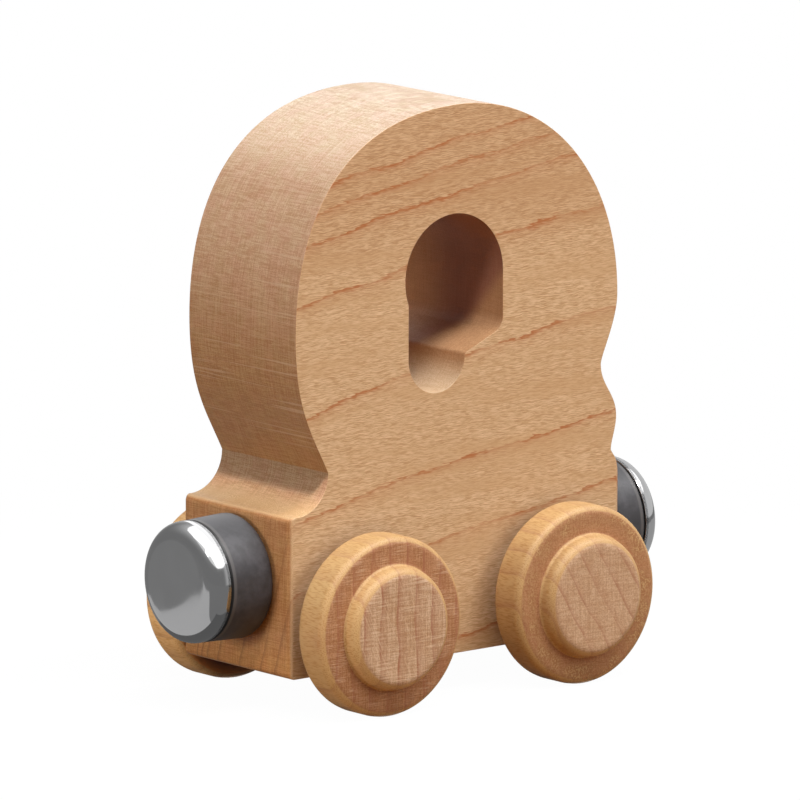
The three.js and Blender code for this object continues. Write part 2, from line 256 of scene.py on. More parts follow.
def letter_outline(size):
    """The outline of letter and block as (x, z) points, anticlockwise from the block's lower left corner.

    A curve's two handles are shares of the run that it spans, which set how full the curve is.
    """
    end_x = BODY_HIGH.x
    under = BODY_LOW.z
    top = under + size.block_height
    lower_left = Vector((-end_x, under))
    lower_right = Vector((end_x, under))
    upper_left = Vector((-end_x, top))
    foot = Vector((end_x, top + size.foot_height))
    notch = Vector((end_x - size.notch_depth, top + size.notch_height))
    widest = top + size.bowl_widest
    right = Vector((size.bowl_offset + size.bowl_width / 2, widest))
    left = Vector((size.bowl_offset - size.bowl_width / 2, widest))
    tip = Vector((right.x - size.tip_setback, top + size.tip_height))
    waist = Vector((right.x - size.waist_depth, top + size.waist_height))
    crown = Vector((size.bowl_offset, BODY_HIGH.z))
    shoulder = Vector((-end_x + size.shoulder_land, top + size.shoulder_radius))
    neck = shoulder + Vector((size.shoulder_radius, 0))

    def rise(start, end, part, lean=0.0):
        height = (end.y - start.y) * part
        return Vector((-height * math.tan(lean), height))

    def run(start, end, part):
        return Vector(((end.x - start.x) * part, 0))

    def upright_curve(start, end, handles, lean=0.0):
        return curve(start, rise(start, end, handles[0]), rise(end, start, handles[1], lean), end)

    return without_repeats([
        *rounded_corner(upper_left, lower_left, lower_right, size.corner_easing),
        *rounded_corner(lower_left, lower_right, foot, size.corner_easing),
        *rounded_corner(lower_right, foot, notch, size.foot_radius),
        notch,
        *upright_curve(notch, tip, NOTCH_TO_TIP),
        *upright_curve(tip, waist, TIP_TO_WAIST),
        *upright_curve(waist, right, WAIST_TO_RIGHT),
        *curve(right, rise(right, crown, RIGHT_TO_CROWN[0]), run(crown, right, RIGHT_TO_CROWN[1]), crown),
        *curve(crown, run(crown, left, CROWN_TO_LEFT[0]), rise(left, crown, CROWN_TO_LEFT[1]), left),
        *upright_curve(left, neck, LEFT_TO_NECK, size.neck_lean),
        *arc(shoulder, size.shoulder_radius, 0, -90)[1:],
        *rounded_corner(Vector((shoulder.x, top)), upper_left, lower_left, size.corner_easing),
    ])


def counter_outline(size):
    """The hole in the letter, clockwise: an arch whose lower right is filled by the tail down to a lobe."""
    top = BODY_HIGH.z - size.top_stroke
    arch = Vector((size.bowl_offset + size.counter_offset, top - size.arch_radius))
    right_wall = arch.x + size.arch_radius
    left_wall = arch.x - size.arch_radius + size.arch_step
    lobe = Vector((left_wall + size.lobe_radius, top - size.counter_height + size.lobe_radius))
    tail = Vector((lobe.x + size.lobe_radius, lobe.y))
    slope_end = Vector((right_wall, tail.y + (right_wall - tail.x) * math.tan(size.tail_slope)))
    step_turn = math.degrees(math.acos((arch.x - left_wall) / size.arch_radius))
    lobe_arc = arc(lobe, size.lobe_radius, -180, LOBE_END, 2 * ARC_STEPS)
    points = without_repeats([
        *lobe_arc,
        *rounded_corner(lobe_arc[-1], tail, slope_end, size.tail_corner, CORNER_STEPS),
        *rounded_corner(tail, slope_end, Vector((right_wall, arch.y)), size.tail_fillet),
        *arc(arch, size.arch_radius, 0, 180 + step_turn, 3 * ARC_STEPS),
    ])
    return points[::-1]


def bore_outline(centre, radius):
    """A round hole for an axle, clockwise."""
    return arc(Vector((centre.x, centre.z)), radius, 360, 0, 2 * ARC_STEPS)[:-1]


def rounded_profile(corners, steps=CORNER_STEPS):
    """A profile of (radius, along) points from corners with a round each.

    A point close before and after each round keeps the flats next to it flat when shaded.
    """
    points = []
    places = [Vector(corner[:2]) for corner in corners]
    for index, corner in enumerate(corners):
        here = places[index]
        if corner[2] <= 0:
            points.append(here)
            continue
        before, after = places[index - 1], places[(index + 1) % len(corners)]
        rounded = rounded_corner(before, here, after, corner[2], steps)
        lead = ROUND_LEAD * corner[2]
        points.append(rounded[0] + (before - here).normalized() * lead)
        points.extend(rounded)
        points.append(rounded[-1] + (after - here).normalized() * lead)
    return points


# Meshes

SMOOTH_UNDER = math.radians(24)
EDGE_LEAD = 0.3
EASING_PATCH = 9 * MM
EASED_END = 0.7 * MM
EASED_ABOVE = 1.5 * MM
EASING_STEPS = 5
MITRE_LIMIT = 0.5


def finish_mesh(name, mesh_builder, material):
    """An object from a built mesh, with smooth shading except at sharp edges."""
    bmesh.ops.recalc_face_normals(mesh_builder, faces=mesh_builder.faces)
    mesh = bpy.data.meshes.new(name)
    mesh_builder.to_mesh(mesh)
    mesh_builder.free()
    mesh.shade_smooth()
    mesh.set_sharp_from_angle(angle=SMOOTH_UNDER)
    mesh.materials.append(material)
    piece = bpy.data.objects.new(name, mesh)
    bpy.context.scene.collection.objects.link(piece)
    return piece


def bridge(mesh_builder, rings, closed):
    """Faces between each ring of vertices and the next."""
    pairs = list(zip(rings, rings[1:]))
    if closed:
        pairs.append((rings[-1], rings[0]))
    for ring, other in pairs:
        count = max(len(ring), len(other))
        for index in range(count):
            following = (index + 1) % count
            corners = [ring[index % len(ring)], ring[following % len(ring)]]
            corners += [other[following % len(other)], other[index % len(other)]]
            mesh_builder.faces.new(list(dict.fromkeys(corners)))


def turned(profile, steps, closed=False):
    """A mesh turned about the Y axis from (radius, along) points."""
    mesh_builder = bmesh.new()
    rings = []
    for point in profile:
        turns = [math.tau * step / steps for step in range(steps if point.x > 0 else 1)]
        spots = [(point.x * math.sin(turn), point.y, point.x * math.cos(turn)) for turn in turns]
        rings.append([mesh_builder.verts.new(spot) for spot in spots])
    bridge(mesh_builder, rings, closed)
    return mesh_builder


def inset(points, distances):
    """A closed outline with each point moved to its left, with mitred corners."""
    moved = []
    for index, point in enumerate(points):
        behind = (point - points[index - 1]).normalized()
        ahead = (points[(index + 1) % len(points)] - point).normalized()
        along = (behind + ahead).normalized()
        left = Vector((-along.y, along.x))
        spread = max(MITRE_LIMIT, left.dot(Vector((-ahead.y, ahead.x))))
        moved.append(point + left * distances[index] / spread)
    return moved


def eased_board(outlines, half, easing_at):
    """A board cut to an outline with holes, whose edges on both faces are sanded round."""
    mesh_builder = bmesh.new()
    turns = [math.radians(90) * step / EASING_STEPS for step in range(EASING_STEPS + 1)]
    section = [(1 - math.sin(turn), 1 - math.cos(turn)) for turn in turns]
    section = [(1 + EDGE_LEAD, 0.0), *section, (0.0, 1 + EDGE_LEAD)]
    face_edges = {-1: [], 1: []}
    for outline in outlines:
        rings = []
        for side in (-1, 1):
            radii = [easing_at(Vector((point.x, side * half, point.y))) for point in outline]
            face_rings = []
            for inward, deep in section:
                spots = inset(outline, [inward * radius for radius in radii])
                depths = [side * (half - deep * radius) for radius in radii]
                places = [(spot.x, depth, spot.y) for spot, depth in zip(spots, depths)]
                face_rings.append([mesh_builder.verts.new(place) for place in places])
            rings += face_rings if side < 0 else face_rings[::-1]
        bridge(mesh_builder, rings, False)
        for side, loop in ((-1, rings[0]), (1, rings[-1])):
            face_edges[side] += [mesh_builder.edges.get((loop[i - 1], loop[i])) for i in range(len(loop))]
    for side, edges in face_edges.items():
        bmesh.ops.triangle_fill(mesh_builder, use_beauty=True, edges=edges, normal=(0, side, 0))
    return mesh_builder


# Shader graphs

SHARED_GROUPS = {}


class Graph:
    """Short ways to add nodes to a tree and wire them."""

    def __init__(self, tree):
        self.tree = tree

    def feed(self, socket, value):
        """Links a socket to another, or sets its own value."""
        if isinstance(value, bpy.types.NodeSocket):
            self.tree.links.new(value, socket)
        elif socket.type == "RGBA":
            socket.default_value = (*value[:3], 1.0)
        else:
            socket.default_value = value

    def add(self, kind, inputs=None, **settings):
        """A node with its settings made and its inputs fed."""
        node = self.tree.nodes.new(kind)
        for key, value in settings.items():
            setattr(node, key, value)
        for key, value in (inputs or {}).items():
            self.feed(node.inputs[key], value)
        return node

    def group(self, tree, inputs):
        return self.add("ShaderNodeGroup", inputs, node_tree=tree).outputs

    def math(self, operation, *values):
        return self.add("ShaderNodeMath", dict(enumerate(values)), operation=operation).outputs[0]

    def product(self, first, *others):
        for other in others:
            first = self.math("MULTIPLY", first, other)
        return first

    def vector(self, operation, *values):
        node = self.add("ShaderNodeVectorMath", dict(enumerate(values)), operation=operation)
        return node.outputs["Value" if operation in ("DOT_PRODUCT", "LENGTH") else "Vector"]

    def parts(self, vector):
        return self.add("ShaderNodeSeparateXYZ", {0: vector}).outputs

    def joined(self, *parts):
        return self.add("ShaderNodeCombineXYZ", dict(enumerate(parts))).outputs[0]

    def noise(self, position, scale=1.0, detail=2.0, roughness=0.5, distortion=0.0):
        inputs = {"Vector": position, "Scale": scale, "Detail": detail}
        inputs.update({"Roughness": roughness, "Distortion": distortion})
        return self.add("ShaderNodeTexNoise", inputs).outputs["Fac"]

    def streaks(self, position, counts, detail=1.0, scale=1.0):
        """Noise drawn out along the axes, with a count per millimetre along each."""
        return self.noise(self.vector("MULTIPLY", position, counts), scale, detail)

    def remap(self, value, low, high, to_low=0.0, to_high=1.0):
        inputs = {"Value": value, "From Min": low, "From Max": high, "To Min": to_low, "To Max": to_high}
        return self.add("ShaderNodeMapRange", inputs, interpolation_type="SMOOTHSTEP").outputs["Result"]

    def mix(self, factor, first, second, blend="MIX"):
        inputs = {0: factor, 6: first, 7: second}
        return self.add("ShaderNodeMix", inputs, data_type="RGBA", blend_type=blend).outputs[2]

    def times(self, paint, tint):
        """A colour with its channels scaled by those of a tint."""
        return self.mix(1.0, paint, tint, "MULTIPLY")

    def layer(self, paint, mask, base, tint):
        """A colour with a tinted base laid over it where the mask says."""
        return self.mix(mask, paint, tinted(base, tint))

    def between(self, mask, base, tints):
        """A base with two tints, and the mask says which of them where."""
        return self.mix(mask, tinted(base, tints[0]), tinted(base, tints[1]))


def tinted(base, tint):
    """A plain colour with its channels scaled by those of a tint."""
    return tuple(channel * scale for channel, scale in zip(base, tint))


def new_group(name, inputs, outputs):
    """An empty shader group with its sockets, and its graph, inputs and outputs."""
    tree = bpy.data.node_groups.new(name, "ShaderNodeTree")
    for label, kind in inputs.items():
        tree.interface.new_socket(label, in_out="INPUT", socket_type=kind)
    for label in outputs:
        tree.interface.new_socket(label, in_out="OUTPUT", socket_type="NodeSocketFloat")
    graph = Graph(tree)
    return tree, graph, graph.add("NodeGroupInput").outputs, graph.add("NodeGroupOutput").inputs


def shared(maker):
    """A shared shader group, built the first time that it is asked for."""
    if maker.__name__ not in SHARED_GROUPS:
        SHARED_GROUPS[maker.__name__] = maker()
    return SHARED_GROUPS[maker.__name__]


def new_material(name):
    """A bare material with its graph and its Principled shader."""
    material = bpy.data.materials.new(name)
    material.use_nodes = True
    return material, Graph(material.node_tree), material.node_tree.nodes["Principled BSDF"]


def place_on_piece(graph, along_axle):
    """Position in millimetres and normal, on the piece, with the fibres along the first axis."""
    coordinates = graph.add("ShaderNodeTexCoord").outputs
    position = graph.vector("SCALE", coordinates["Object"])
    position.node.inputs["Scale"].default_value = 1 / MM
    places = (position, coordinates["Normal"])
    if not along_axle:
        return places
    return [graph.joined(y, x, z) for x, y, z in map(graph.parts, places)]


# Wood in general, with counts per millimetre along and across the fibres

RING_PATCHES = (0.16, 0.3, 0.3)
RING_SWELL = (0.3, 0.7, 0.7, 1.6)
RING_FADE = (0.3, 0.62, 0.3, 1.0)
RING_BACK = 0.4
HALO_REACH = 6.0
FIBRE_BENDS = 0.55
FIBRE_LIFT = 0.4
FIBRE_FRAY = 0.2
FIBRE_BANDS = (0.05, 0.4, 0.55)
THREADS = {"Level": (0.25, 0.5, 13.0), "Upright": (0.25, 11.0, 0.4), "Speck": (0.5, 11.0, 11.0)}
THREAD_RANGE = (0.3, 0.7)
WEAVE_RANGE = (0.72, 1.28)
DARK_THREAD = (0.80, 0.70, 0.58)
PALE_THREAD = (1.19, 1.29, 1.41)
SCORE_COUNTS = (0.1, 0.07, 5.0)
CLOUD = {"scale": 0.5, "detail": 4.0, "roughness": 0.6}
SEALER_IOR = 1.48


def growth_rings():
    """Thin ragged lines at whole counts of years that fade along their run, with a halo before each."""
    sockets = {"Years": "NodeSocketFloat", "Position": "NodeSocketVector", "Width": "NodeSocketFloat"}
    tree, graph, given, out = new_group("Growth rings", sockets, ("Line", "Halo"))
    season = graph.math("FRACT", given["Years"])
    patch = graph.streaks(given["Position"], RING_PATCHES, 3.0)
    width = graph.product(given["Width"], graph.remap(patch, *RING_SWELL))
    dark = graph.remap(season, graph.math("SUBTRACT", 1.0, width), 1.0)
    back = graph.remap(season, 0.0, graph.product(given["Width"], RING_BACK), 1.0, 0.0)
    edge = graph.math("MAXIMUM", dark, back)
    graph.feed(out["Line"], graph.product(edge, graph.remap(patch, *RING_FADE)))
    reach = graph.product(given["Width"], HALO_REACH)
    graph.feed(out["Halo"], graph.remap(season, graph.math("SUBTRACT", 1.0, reach), 1.0))
    return tree


def grain_fibres():
    """Short wavy flecks that lie along the first axis, and broad bands."""
    sockets = {"Position": "NodeSocketVector", "Length": "NodeSocketFloat", "Thickness": "NodeSocketFloat"}
    tree, graph, given, out = new_group("Grain fibres", sockets, ("Fleck", "Band"))
    along = graph.math("DIVIDE", 1.0, given["Length"])
    across = graph.math("DIVIDE", 1.0, given["Thickness"])
    lift = graph.product(graph.noise(given["Position"], FIBRE_BENDS), FIBRE_LIFT)
    bent = graph.vector("ADD", given["Position"], graph.joined(0.0, 0.0, lift))
    fibres = graph.vector("MULTIPLY", bent, graph.joined(along, across, across))
    graph.feed(out["Fleck"], graph.noise(fibres, detail=1.0, distortion=FIBRE_FRAY))
    graph.feed(out["Band"], graph.streaks(bent, FIBRE_BANDS, 3.0))
    return tree


def end_hatch():
    """The fine linen of sawn and sanded end grain, with threads across the first axis both ways."""
    sockets = {"Position": "NodeSocketVector", "Fineness": "NodeSocketFloat"}
    tree, graph, given, out = new_group("End grain hatch", sockets, (*THREADS, "Score", "Cloud"))
    for name, counts in THREADS.items():
        graph.feed(out[name], graph.streaks(given["Position"], counts, 1.0, given["Fineness"]))
    graph.feed(out["Score"], graph.streaks(given["Position"], SCORE_COUNTS, 0.0, given["Fineness"]))
    graph.feed(out["Cloud"], graph.noise(given["Position"], **CLOUD))
    return tree


class Maple(Graph):
    """Sealed maple, with the growth rings, fibres and hatch of its wood."""

    def __init__(self, name, settings, along_axle, end_facing):
        self.material, _, self.shader = new_material(name)
        super().__init__(self.material.node_tree)
        self.settings = settings
        self.position, normal = place_on_piece(self, along_axle)
        self.x, self.y, self.z = self.parts(self.position)
        self.facing = self.parts(normal)
        self.end = self.remap(self.math("ABSOLUTE", self.facing[0]), *end_facing)

    def grow(self, ring_width, fibres, fineness):
        """Rings across the years of the log, fibres along it and hatch on its ends."""
        rings = {"Years": self.years(), "Position": self.position, "Width": ring_width}
        self.rings = self.group(shared(growth_rings), rings)
        self.fibres = self.group(shared(grain_fibres), {"Position": self.position, **fibres})
        self.hatch = self.group(shared(end_hatch), {"Position": self.position, "Fineness": fineness})

    def ringed(self, wood, depths, *where):
        """Wood with the halos and lines of its rings, each with its own strength."""
        for part, depth in depths.items():
            wood = self.mix(self.product(self.rings[part], *where, depth), wood, self.settings.ring_line)
        return wood

    def threaded(self, wood, depths):
        """Wood made paler and pinker, or darker and warmer, by threads that each have their own strength."""
        factors = []
        for name, depth in zip(THREADS, depths):
            factors.append(self.remap(self.hatch[name], *THREAD_RANGE, 1 - depth, 1 + depth))
        weave = self.remap(self.product(*factors), *WEAVE_RANGE)
        return self.times(wood, self.mix(weave, DARK_THREAD, PALE_THREAD))

    def sealed(self, wood, roughness, bump):
        """The material, with clear satin sealer over fibres that stand out a little."""
        relief = self.math("ADD", self.fibres["Fleck"], self.product(self.hatch["Level"], self.end))
        raised = self.add("ShaderNodeBump", {**bump, "Height": relief}).outputs[0]
        inputs = {"Base Color": wood, "Roughness": roughness, "Normal": raised, "IOR": SEALER_IOR}
        inputs["Coat Weight"] = self.settings.coat
        inputs["Coat Roughness"] = self.settings.coat_roughness
        for name, value in inputs.items():
            self.feed(self.shader.inputs[name], value)
        return self.material


# Maple of the body, with heights and places in millimetres and tints that scale a colour

RING_HEIGHTS = (6.0, 16.9, 24.6, 35.5, 47.0, 53.0, 56.1, 58.6)
RING_SPACING = 7.6
RING_SPAN = 130.0
RING_LEAD = 0.9
RING_RATE = 0.12
RING_SLOPE = 0.16
RING_DIP = 3.2
RING_ARCH = 0.0012
RING_WAVES = (((0.07, 0.12, 0.12), 1.0, 2.2), ((0.30, 0.35, 0.35), 2.0, 0.8), ((0.7, 5.0, 5.0), 1.0, 0.95))
BODY_RING_WIDTH = 0.036
BODY_FIBRES = {"Length": 0.85, "Thickness": 0.036}
BODY_ROUGHNESS = (0.3, 0.7, 0.42, 0.52)
BODY_BUMP = {"Strength": 0.25, "Distance": 0.03 * MM}
END_FACING = (0.3, 0.85)
FLAT_FACING = (0.5, 0.9)
FLECK_RANGE = (0.35, 0.65)
FLECK_TINTS = ((1.24, 1.32, 1.42), (0.79, 0.68, 0.56))
BAND_RANGE = (0.40, 0.75, 0.0, 0.6)
BAND_TINT = (0.94, 0.87, 0.78)
UPPER_HEIGHTS = (42.0, 54.0)
UPPER_TINT = (0.90, 0.84, 0.80)
BODY_RING_DEPTHS = {"Halo": 0.18, "Line": 0.85}
LOW_HEIGHTS = (32.0, 52.0, 1.0, 0.0)
BLOCK_TINT = (1.25, 1.18, 1.16)
# Painted light low on the block's ends, lifting the shade under the couplers
FOOT_HEIGHTS = (9.0, 5.0)
FOOT_PAINTED_LIGHT = (1.45, 1.34, 1.15)
LEDGE = 0.1
# Painted shadow of the bowl in the left fillet: its edge, which rises towards the front face, and its drop below
# the neck; then the painted light and painted shadow tints
COVE_RISE = (-6.6, -8.8, 0.0, 2.0)
COVE_SHADE = (2.9, 2.0)
COVE_LIGHT_AND_SHADOW = ((1.18, 1.13, 1.08), (0.60, 0.58, 0.52))
BLUSH_RANGE = (0.35, 0.65)
PINK_BLUSH = (1.0, 0.92, 0.93)
YELLOW_BLUSH = (1.0, 1.0, 0.97)
END_WEAVE = (0.15, 0.13, 0.16)
SCORES_ABOVE_NECK = 4.0
PALE_SCORES = ((0.66, 0.74, 0.0, 0.4), (1.15, 1.25, 1.35))
DARK_SCORES = ((0.34, 0.26, 0.0, 0.35), (0.78, 0.68, 0.6))
STRIPED_HEIGHTS = (12.0, 26.0, 0.6, 0.0)
STRIPE_TINT = (0.50, 0.34, 0.20)
# Painted light on the shoulder where it faces up
SHOULDER_FACING = (0.3, 0.7)
SHOULDER_UNDER_NECK = 1.5
SHOULDER_OVER_BLOCK = 0.8
SHOULDER_PAINTED_LIGHT = (1.18, 1.15, 1.06)
HOLE_MIDDLE = 41.5
HOLE_REACH = 11.0
HOLE_WEAVE = (0.04, 0.05, 0.11)
# Painted shadow of the arch above a slanting edge, and painted light deep inside and in the lobe
ARCH_SHADOW_SLANT = (33.6, 36.4)
ARCH_SHADOW_TINT = (0.67, 0.53, 0.66)
DEEP_PLACES = (-2.0, 7.0)
DEEP_HEIGHTS = (50.0, 36.0, 0.45, 1.0)
DEEP_PAINTED_LIGHT = (1.80, 2.10, 2.5)
LOBE_HEIGHTS = (35.8, 32.8)
LOBE_PAINTED_LIGHT = (1.25, 1.62, 2.05)
# Painted sheen on the top
CROWN_FACING = (0.5, 1.0)
CROWN_HEIGHTS = (50.0, 57.0)
CROWN_WEAVE = (0.10, 0.10, 0.15)
CROWN_TINTS = ((1.08, 1.15, 1.22), (0.92, 0.85, 0.78))


class Board(Maple):
    """Maple board with its fibres along the car and its growth rings dipping towards the back."""

    def __init__(self, settings):
        super().__init__("body_maple", settings, False, END_FACING)
        self.grow(BODY_RING_WIDTH, BODY_FIBRES, 1.0)
        self.flat = self.remap(self.math("ABSOLUTE", self.facing[1]), *FLAT_FACING)
        self.fleck = self.remap(self.fibres["Fleck"], *FLECK_RANGE)
        self.blush = self.mix(self.remap(self.hatch["Cloud"], *BLUSH_RANGE), PINK_BLUSH, YELLOW_BLUSH)
        self.block_top = (BODY_LOW.z + settings.block_height) / MM
        self.neck = self.block_top + settings.shoulder_radius / MM

    def years(self):
        """Years counted across rings that slope along the car, dip towards its back and waver."""
        height = self.math("MULTIPLY_ADD", self.x, -RING_SLOPE, self.z)
        height = self.math("MULTIPLY_ADD", self.product(self.x, self.x), RING_ARCH, height)
        depth = self.math("SUBTRACT", self.y, BODY_LOW.y / MM)
        height = self.math("MULTIPLY_ADD", depth, RING_DIP, height)
        for counts, detail, reach in RING_WAVES:
            bend = self.math("SUBTRACT", self.streaks(self.position, counts, detail), 0.5)
            height = self.math("MULTIPLY_ADD", bend, reach, height)
        return self.uneven_years(height)

    def uneven_years(self, height):
        """Years by height on the front face, from the heights at which ring lines cross its middle."""
        lines = list(RING_HEIGHTS)
        while lines[-1] < RING_SPAN:
            lines.append(lines[-1] + RING_SPACING)
        node = self.add("ShaderNodeFloatCurve", {"Value": self.math("DIVIDE", height, RING_SPAN)})
        mapping = node.mapping.curves[0].points
        total = len(lines) + 1
        for year, line in enumerate(lines, start=1):
            for offset in (-RING_LEAD, RING_LEAD):
                spot = (line + offset) / RING_SPAN
                if 0 < spot < 1:
                    mapping.new(spot, (year + offset * RING_RATE) / total).handle_type = "VECTOR"
        mapping[-1].location = (1, 1)
        node.mapping.update()
        return self.math("MULTIPLY", node.outputs[0], float(total))

    def long_grain(self):
        """Flecks, bands and ring lines along the fibres, a little darker towards the crown."""
        maple = self.settings.long_grain
        wood = self.between(self.fleck, maple, FLECK_TINTS)
        wood = self.layer(wood, self.remap(self.fibres["Band"], *BAND_RANGE), maple, BAND_TINT)
        wood = self.mix(self.remap(self.z, *UPPER_HEIGHTS), wood, self.times(wood, UPPER_TINT))
        return self.ringed(wood, BODY_RING_DEPTHS, self.flat)

    def end_grain(self):
        """Linen that darkens towards the block, paler again on the block, with painted light at its foot and
        painted light and shadow in the cove, scored on the bowl and striped by the rings.
        """
        tan = self.settings.end_grain
        # End grain darker and warmer towards the bottom
        darker_low_grain = self.settings.low_end
        wood = self.mix(self.remap(self.z, *LOW_HEIGHTS), tan, darker_low_grain)
        on_block = self.math("LESS_THAN", self.z, self.block_top + LEDGE)
        wood = self.layer(wood, on_block, darker_low_grain, BLOCK_TINT)
        # Painted light low on the block's ends
        wood = self.layer(wood, self.remap(self.z, *FOOT_HEIGHTS), darker_low_grain, FOOT_PAINTED_LIGHT)
        wood = self.threaded(self.times(self.cove(wood), self.blush), END_WEAVE)
        on_bowl = self.remap(self.z, self.neck, self.neck + SCORES_ABOVE_NECK)
        for limits, tint in (PALE_SCORES, DARK_SCORES):
            scored = self.product(on_bowl, self.remap(self.hatch["Score"], *limits))
            wood = self.layer(wood, scored, tan, tint)
        striped = self.product(self.rings["Halo"], self.remap(self.z, *STRIPED_HEIGHTS))
        return self.layer(wood, striped, tan, STRIPE_TINT)

    def cove(self, wood):
        """The fillet on the left shoulder, with painted light at its foot and the bowl's painted shadow under the
        neck, whose edge rises towards the front face.
        """
        over_block = self.math("GREATER_THAN", self.z, self.block_top + LEDGE)
        under_neck = self.math("LESS_THAN", self.z, self.neck)
        on_left = self.math("LESS_THAN", self.x, 0.0)
        height = self.math("SUBTRACT", self.z, self.remap(self.y, *COVE_RISE))
        shade = self.remap(height, *(self.neck - drop for drop in COVE_SHADE))
        fillet = self.between(shade, self.settings.end_grain, COVE_LIGHT_AND_SHADOW)
        # Painted light and painted shadow on the left fillet
        return self.mix(self.product(over_block, under_neck, on_left), wood, fillet)

    def shoulder(self, wood):
        """The flat on top of the block and the foot of the fillet, made paler where they face up: painted light.
        """
        top = self.neck - SHOULDER_UNDER_NECK
        low = self.remap(self.z, top, self.block_top + SHOULDER_OVER_BLOCK)
        # Painted light on the up-facing shoulder
        sanded = self.product(self.remap(self.facing[2], *SHOULDER_FACING), low)
        return self.mix(sanded, wood, self.times(wood, SHOULDER_PAINTED_LIGHT))

    def hole(self, wood):
        """The wall of the hole in a darker colour as painted shade, with the arch's painted shadow above a slant
        and painted light deep inside and in the lobe.
        """
        # Darker colour all over the hole's wall: painted shade
        wall = self.settings.shaded_hole_wall
        arch_shadow = self.remap(self.math("ADD", self.z, self.y), *ARCH_SHADOW_SLANT)
        deep = self.product(self.remap(self.y, *DEEP_PLACES), self.remap(self.z, *DEEP_HEIGHTS))
        lobe = self.remap(self.z, *LOBE_HEIGHTS)
        painted_hole = wall
        for mask, tint in ((arch_shadow, ARCH_SHADOW_TINT), (deep, DEEP_PAINTED_LIGHT), (lobe, LOBE_PAINTED_LIGHT)):
            painted_hole = self.layer(painted_hole, mask, wall, tint)
        from_middle = self.math("ABSOLUTE", self.math("SUBTRACT", self.z, HOLE_MIDDLE))
        away = self.math("MAXIMUM", self.math("ABSOLUTE", self.x), from_middle)
        near = self.math("LESS_THAN", away, HOLE_REACH)
        inside = self.product(near, self.math("SUBTRACT", 1.0, self.flat))
        return self.mix(inside, wood, self.threaded(painted_hole, HOLE_WEAVE))

    def crown(self, wood):
        """Painted sheen on top: paler, flecked wood where the surface faces up near the crown."""
        top = self.product(self.remap(self.facing[2], *CROWN_FACING), self.remap(self.z, *CROWN_HEIGHTS))
        pale = self.between(self.fleck, self.settings.painted_top_sheen, CROWN_TINTS)
        return self.mix(top, wood, self.threaded(self.times(pale, self.blush), CROWN_WEAVE))


def body_maple(settings):
    """The maple of letter and block."""
    board = Board(settings)
    wood = board.mix(board.end, board.long_grain(), board.end_grain())
    wood = board.crown(board.hole(board.shoulder(wood)))
    return board.sealed(wood, board.remap(board.fibres["Fleck"], *BODY_ROUGHNESS), BODY_BUMP)


# Maple of the wheels, with pairs for the strength on a sanded face and what a sawn face adds

WheelGrain = namedtuple("WheelGrain", "side end turn spacing shift sawn fuzz tone")
# The last column scales the rim's colour: painted light on the back left wheel's rim
WHEEL_GRAIN = (
    WheelGrain("left", "front", turn=0, spacing=2.3, shift=0.3, sawn=0.6, fuzz=0.0, tone=1.0),
    WheelGrain("right", "front", turn=-31, spacing=2.2, shift=0.62, sawn=0.05, fuzz=0.85, tone=1.0),
    WheelGrain("left", "back", turn=-40, spacing=2.6, shift=0.11, sawn=0.3, fuzz=0.2, tone=1.45),
    WheelGrain("right", "back", turn=65, spacing=2.9, shift=0.47, sawn=0.1, fuzz=0.4, tone=1.0),
)
DOWEL_LENGTH = 40.0
WHEEL_WAVES = 0.12
WHEEL_WAVE_REACH = 0.8
WHEEL_RING_WIDTH = 0.11
WHEEL_FIBRES = {"Length": 0.9, "Thickness": 0.11}
WHEEL_FINENESS = 0.85
WHEEL_ROUGHNESS = (0.3, 0.7, 0.5, 0.62)
WHEEL_BUMP = {"Strength": 0.3, "Distance": 0.04 * MM}
WHEEL_END_FACING = (0.86, 0.96)
PORES = {"scale": 4.5, "detail": 3.0, "roughness": 0.75}
PORE_RANGE = (0.36, 0.66)
BETWEEN_PORES = (1.10, 1.12, 1.14)
IN_PORES = (0.88, 0.84, 0.80)
RIM_FLECK_RANGE = (0.42, 0.72)
RIM_TINTS = ((1.06, 1.08, 1.12), (0.84, 0.74, 0.58))
RIM_RING_DEPTHS = {"Halo": 0.18, "Line": 0.3}
HUB_STARTS_ABOVE = 1.0
FACE_WEAVE = ((0.08, 0.10), (0.07, 0.10), (0.10, 0.0))
FACE_RING_DEPTHS = {"Halo": (0.12, 0.33), "Line": (0.5, 0.6)}
SCRATCH_LEAN = 24
SCRATCH_COUNTS = (0.1, 7.5, 0.3)
SCRATCH_RANGE = (0.62, 0.72)
SCRATCH_DEPTH = 0.8
SCRATCH_TINT = (1.35, 1.55, 1.75)
FRAYED_PATCHES = (0.45, 0.62)
FRAYED_DEPTH = 0.9
FRAYED_THREADS = (0.50, 0.68)
FRAYED_ALONG = (4.0, 7.0, 0.5, 1.0)
TORN_SPREAD = (6.8, 7.8)
TORN_PATCHES = (0.42, 0.62)
TORN_LEAST = 0.2
TORN_TINT = (0.85, 0.80, 0.70)
TUFTS = 5.5
TUFT_RANGE = (0.47, 0.60)
TUFT_TINT = (1.0, 1.05, 1.15)
# Painted shade in the middle of each wheel's inner face beside the body, and painted light round its edge
INNER_REACH = 0.5
INNER_SPREAD = (7.8, 9.4)
INNER_PAINTED_SHADE = (0.52, 0.26, 0.16)
INNER_PAINTED_LIGHT = (1.25, 0.97, 0.78)


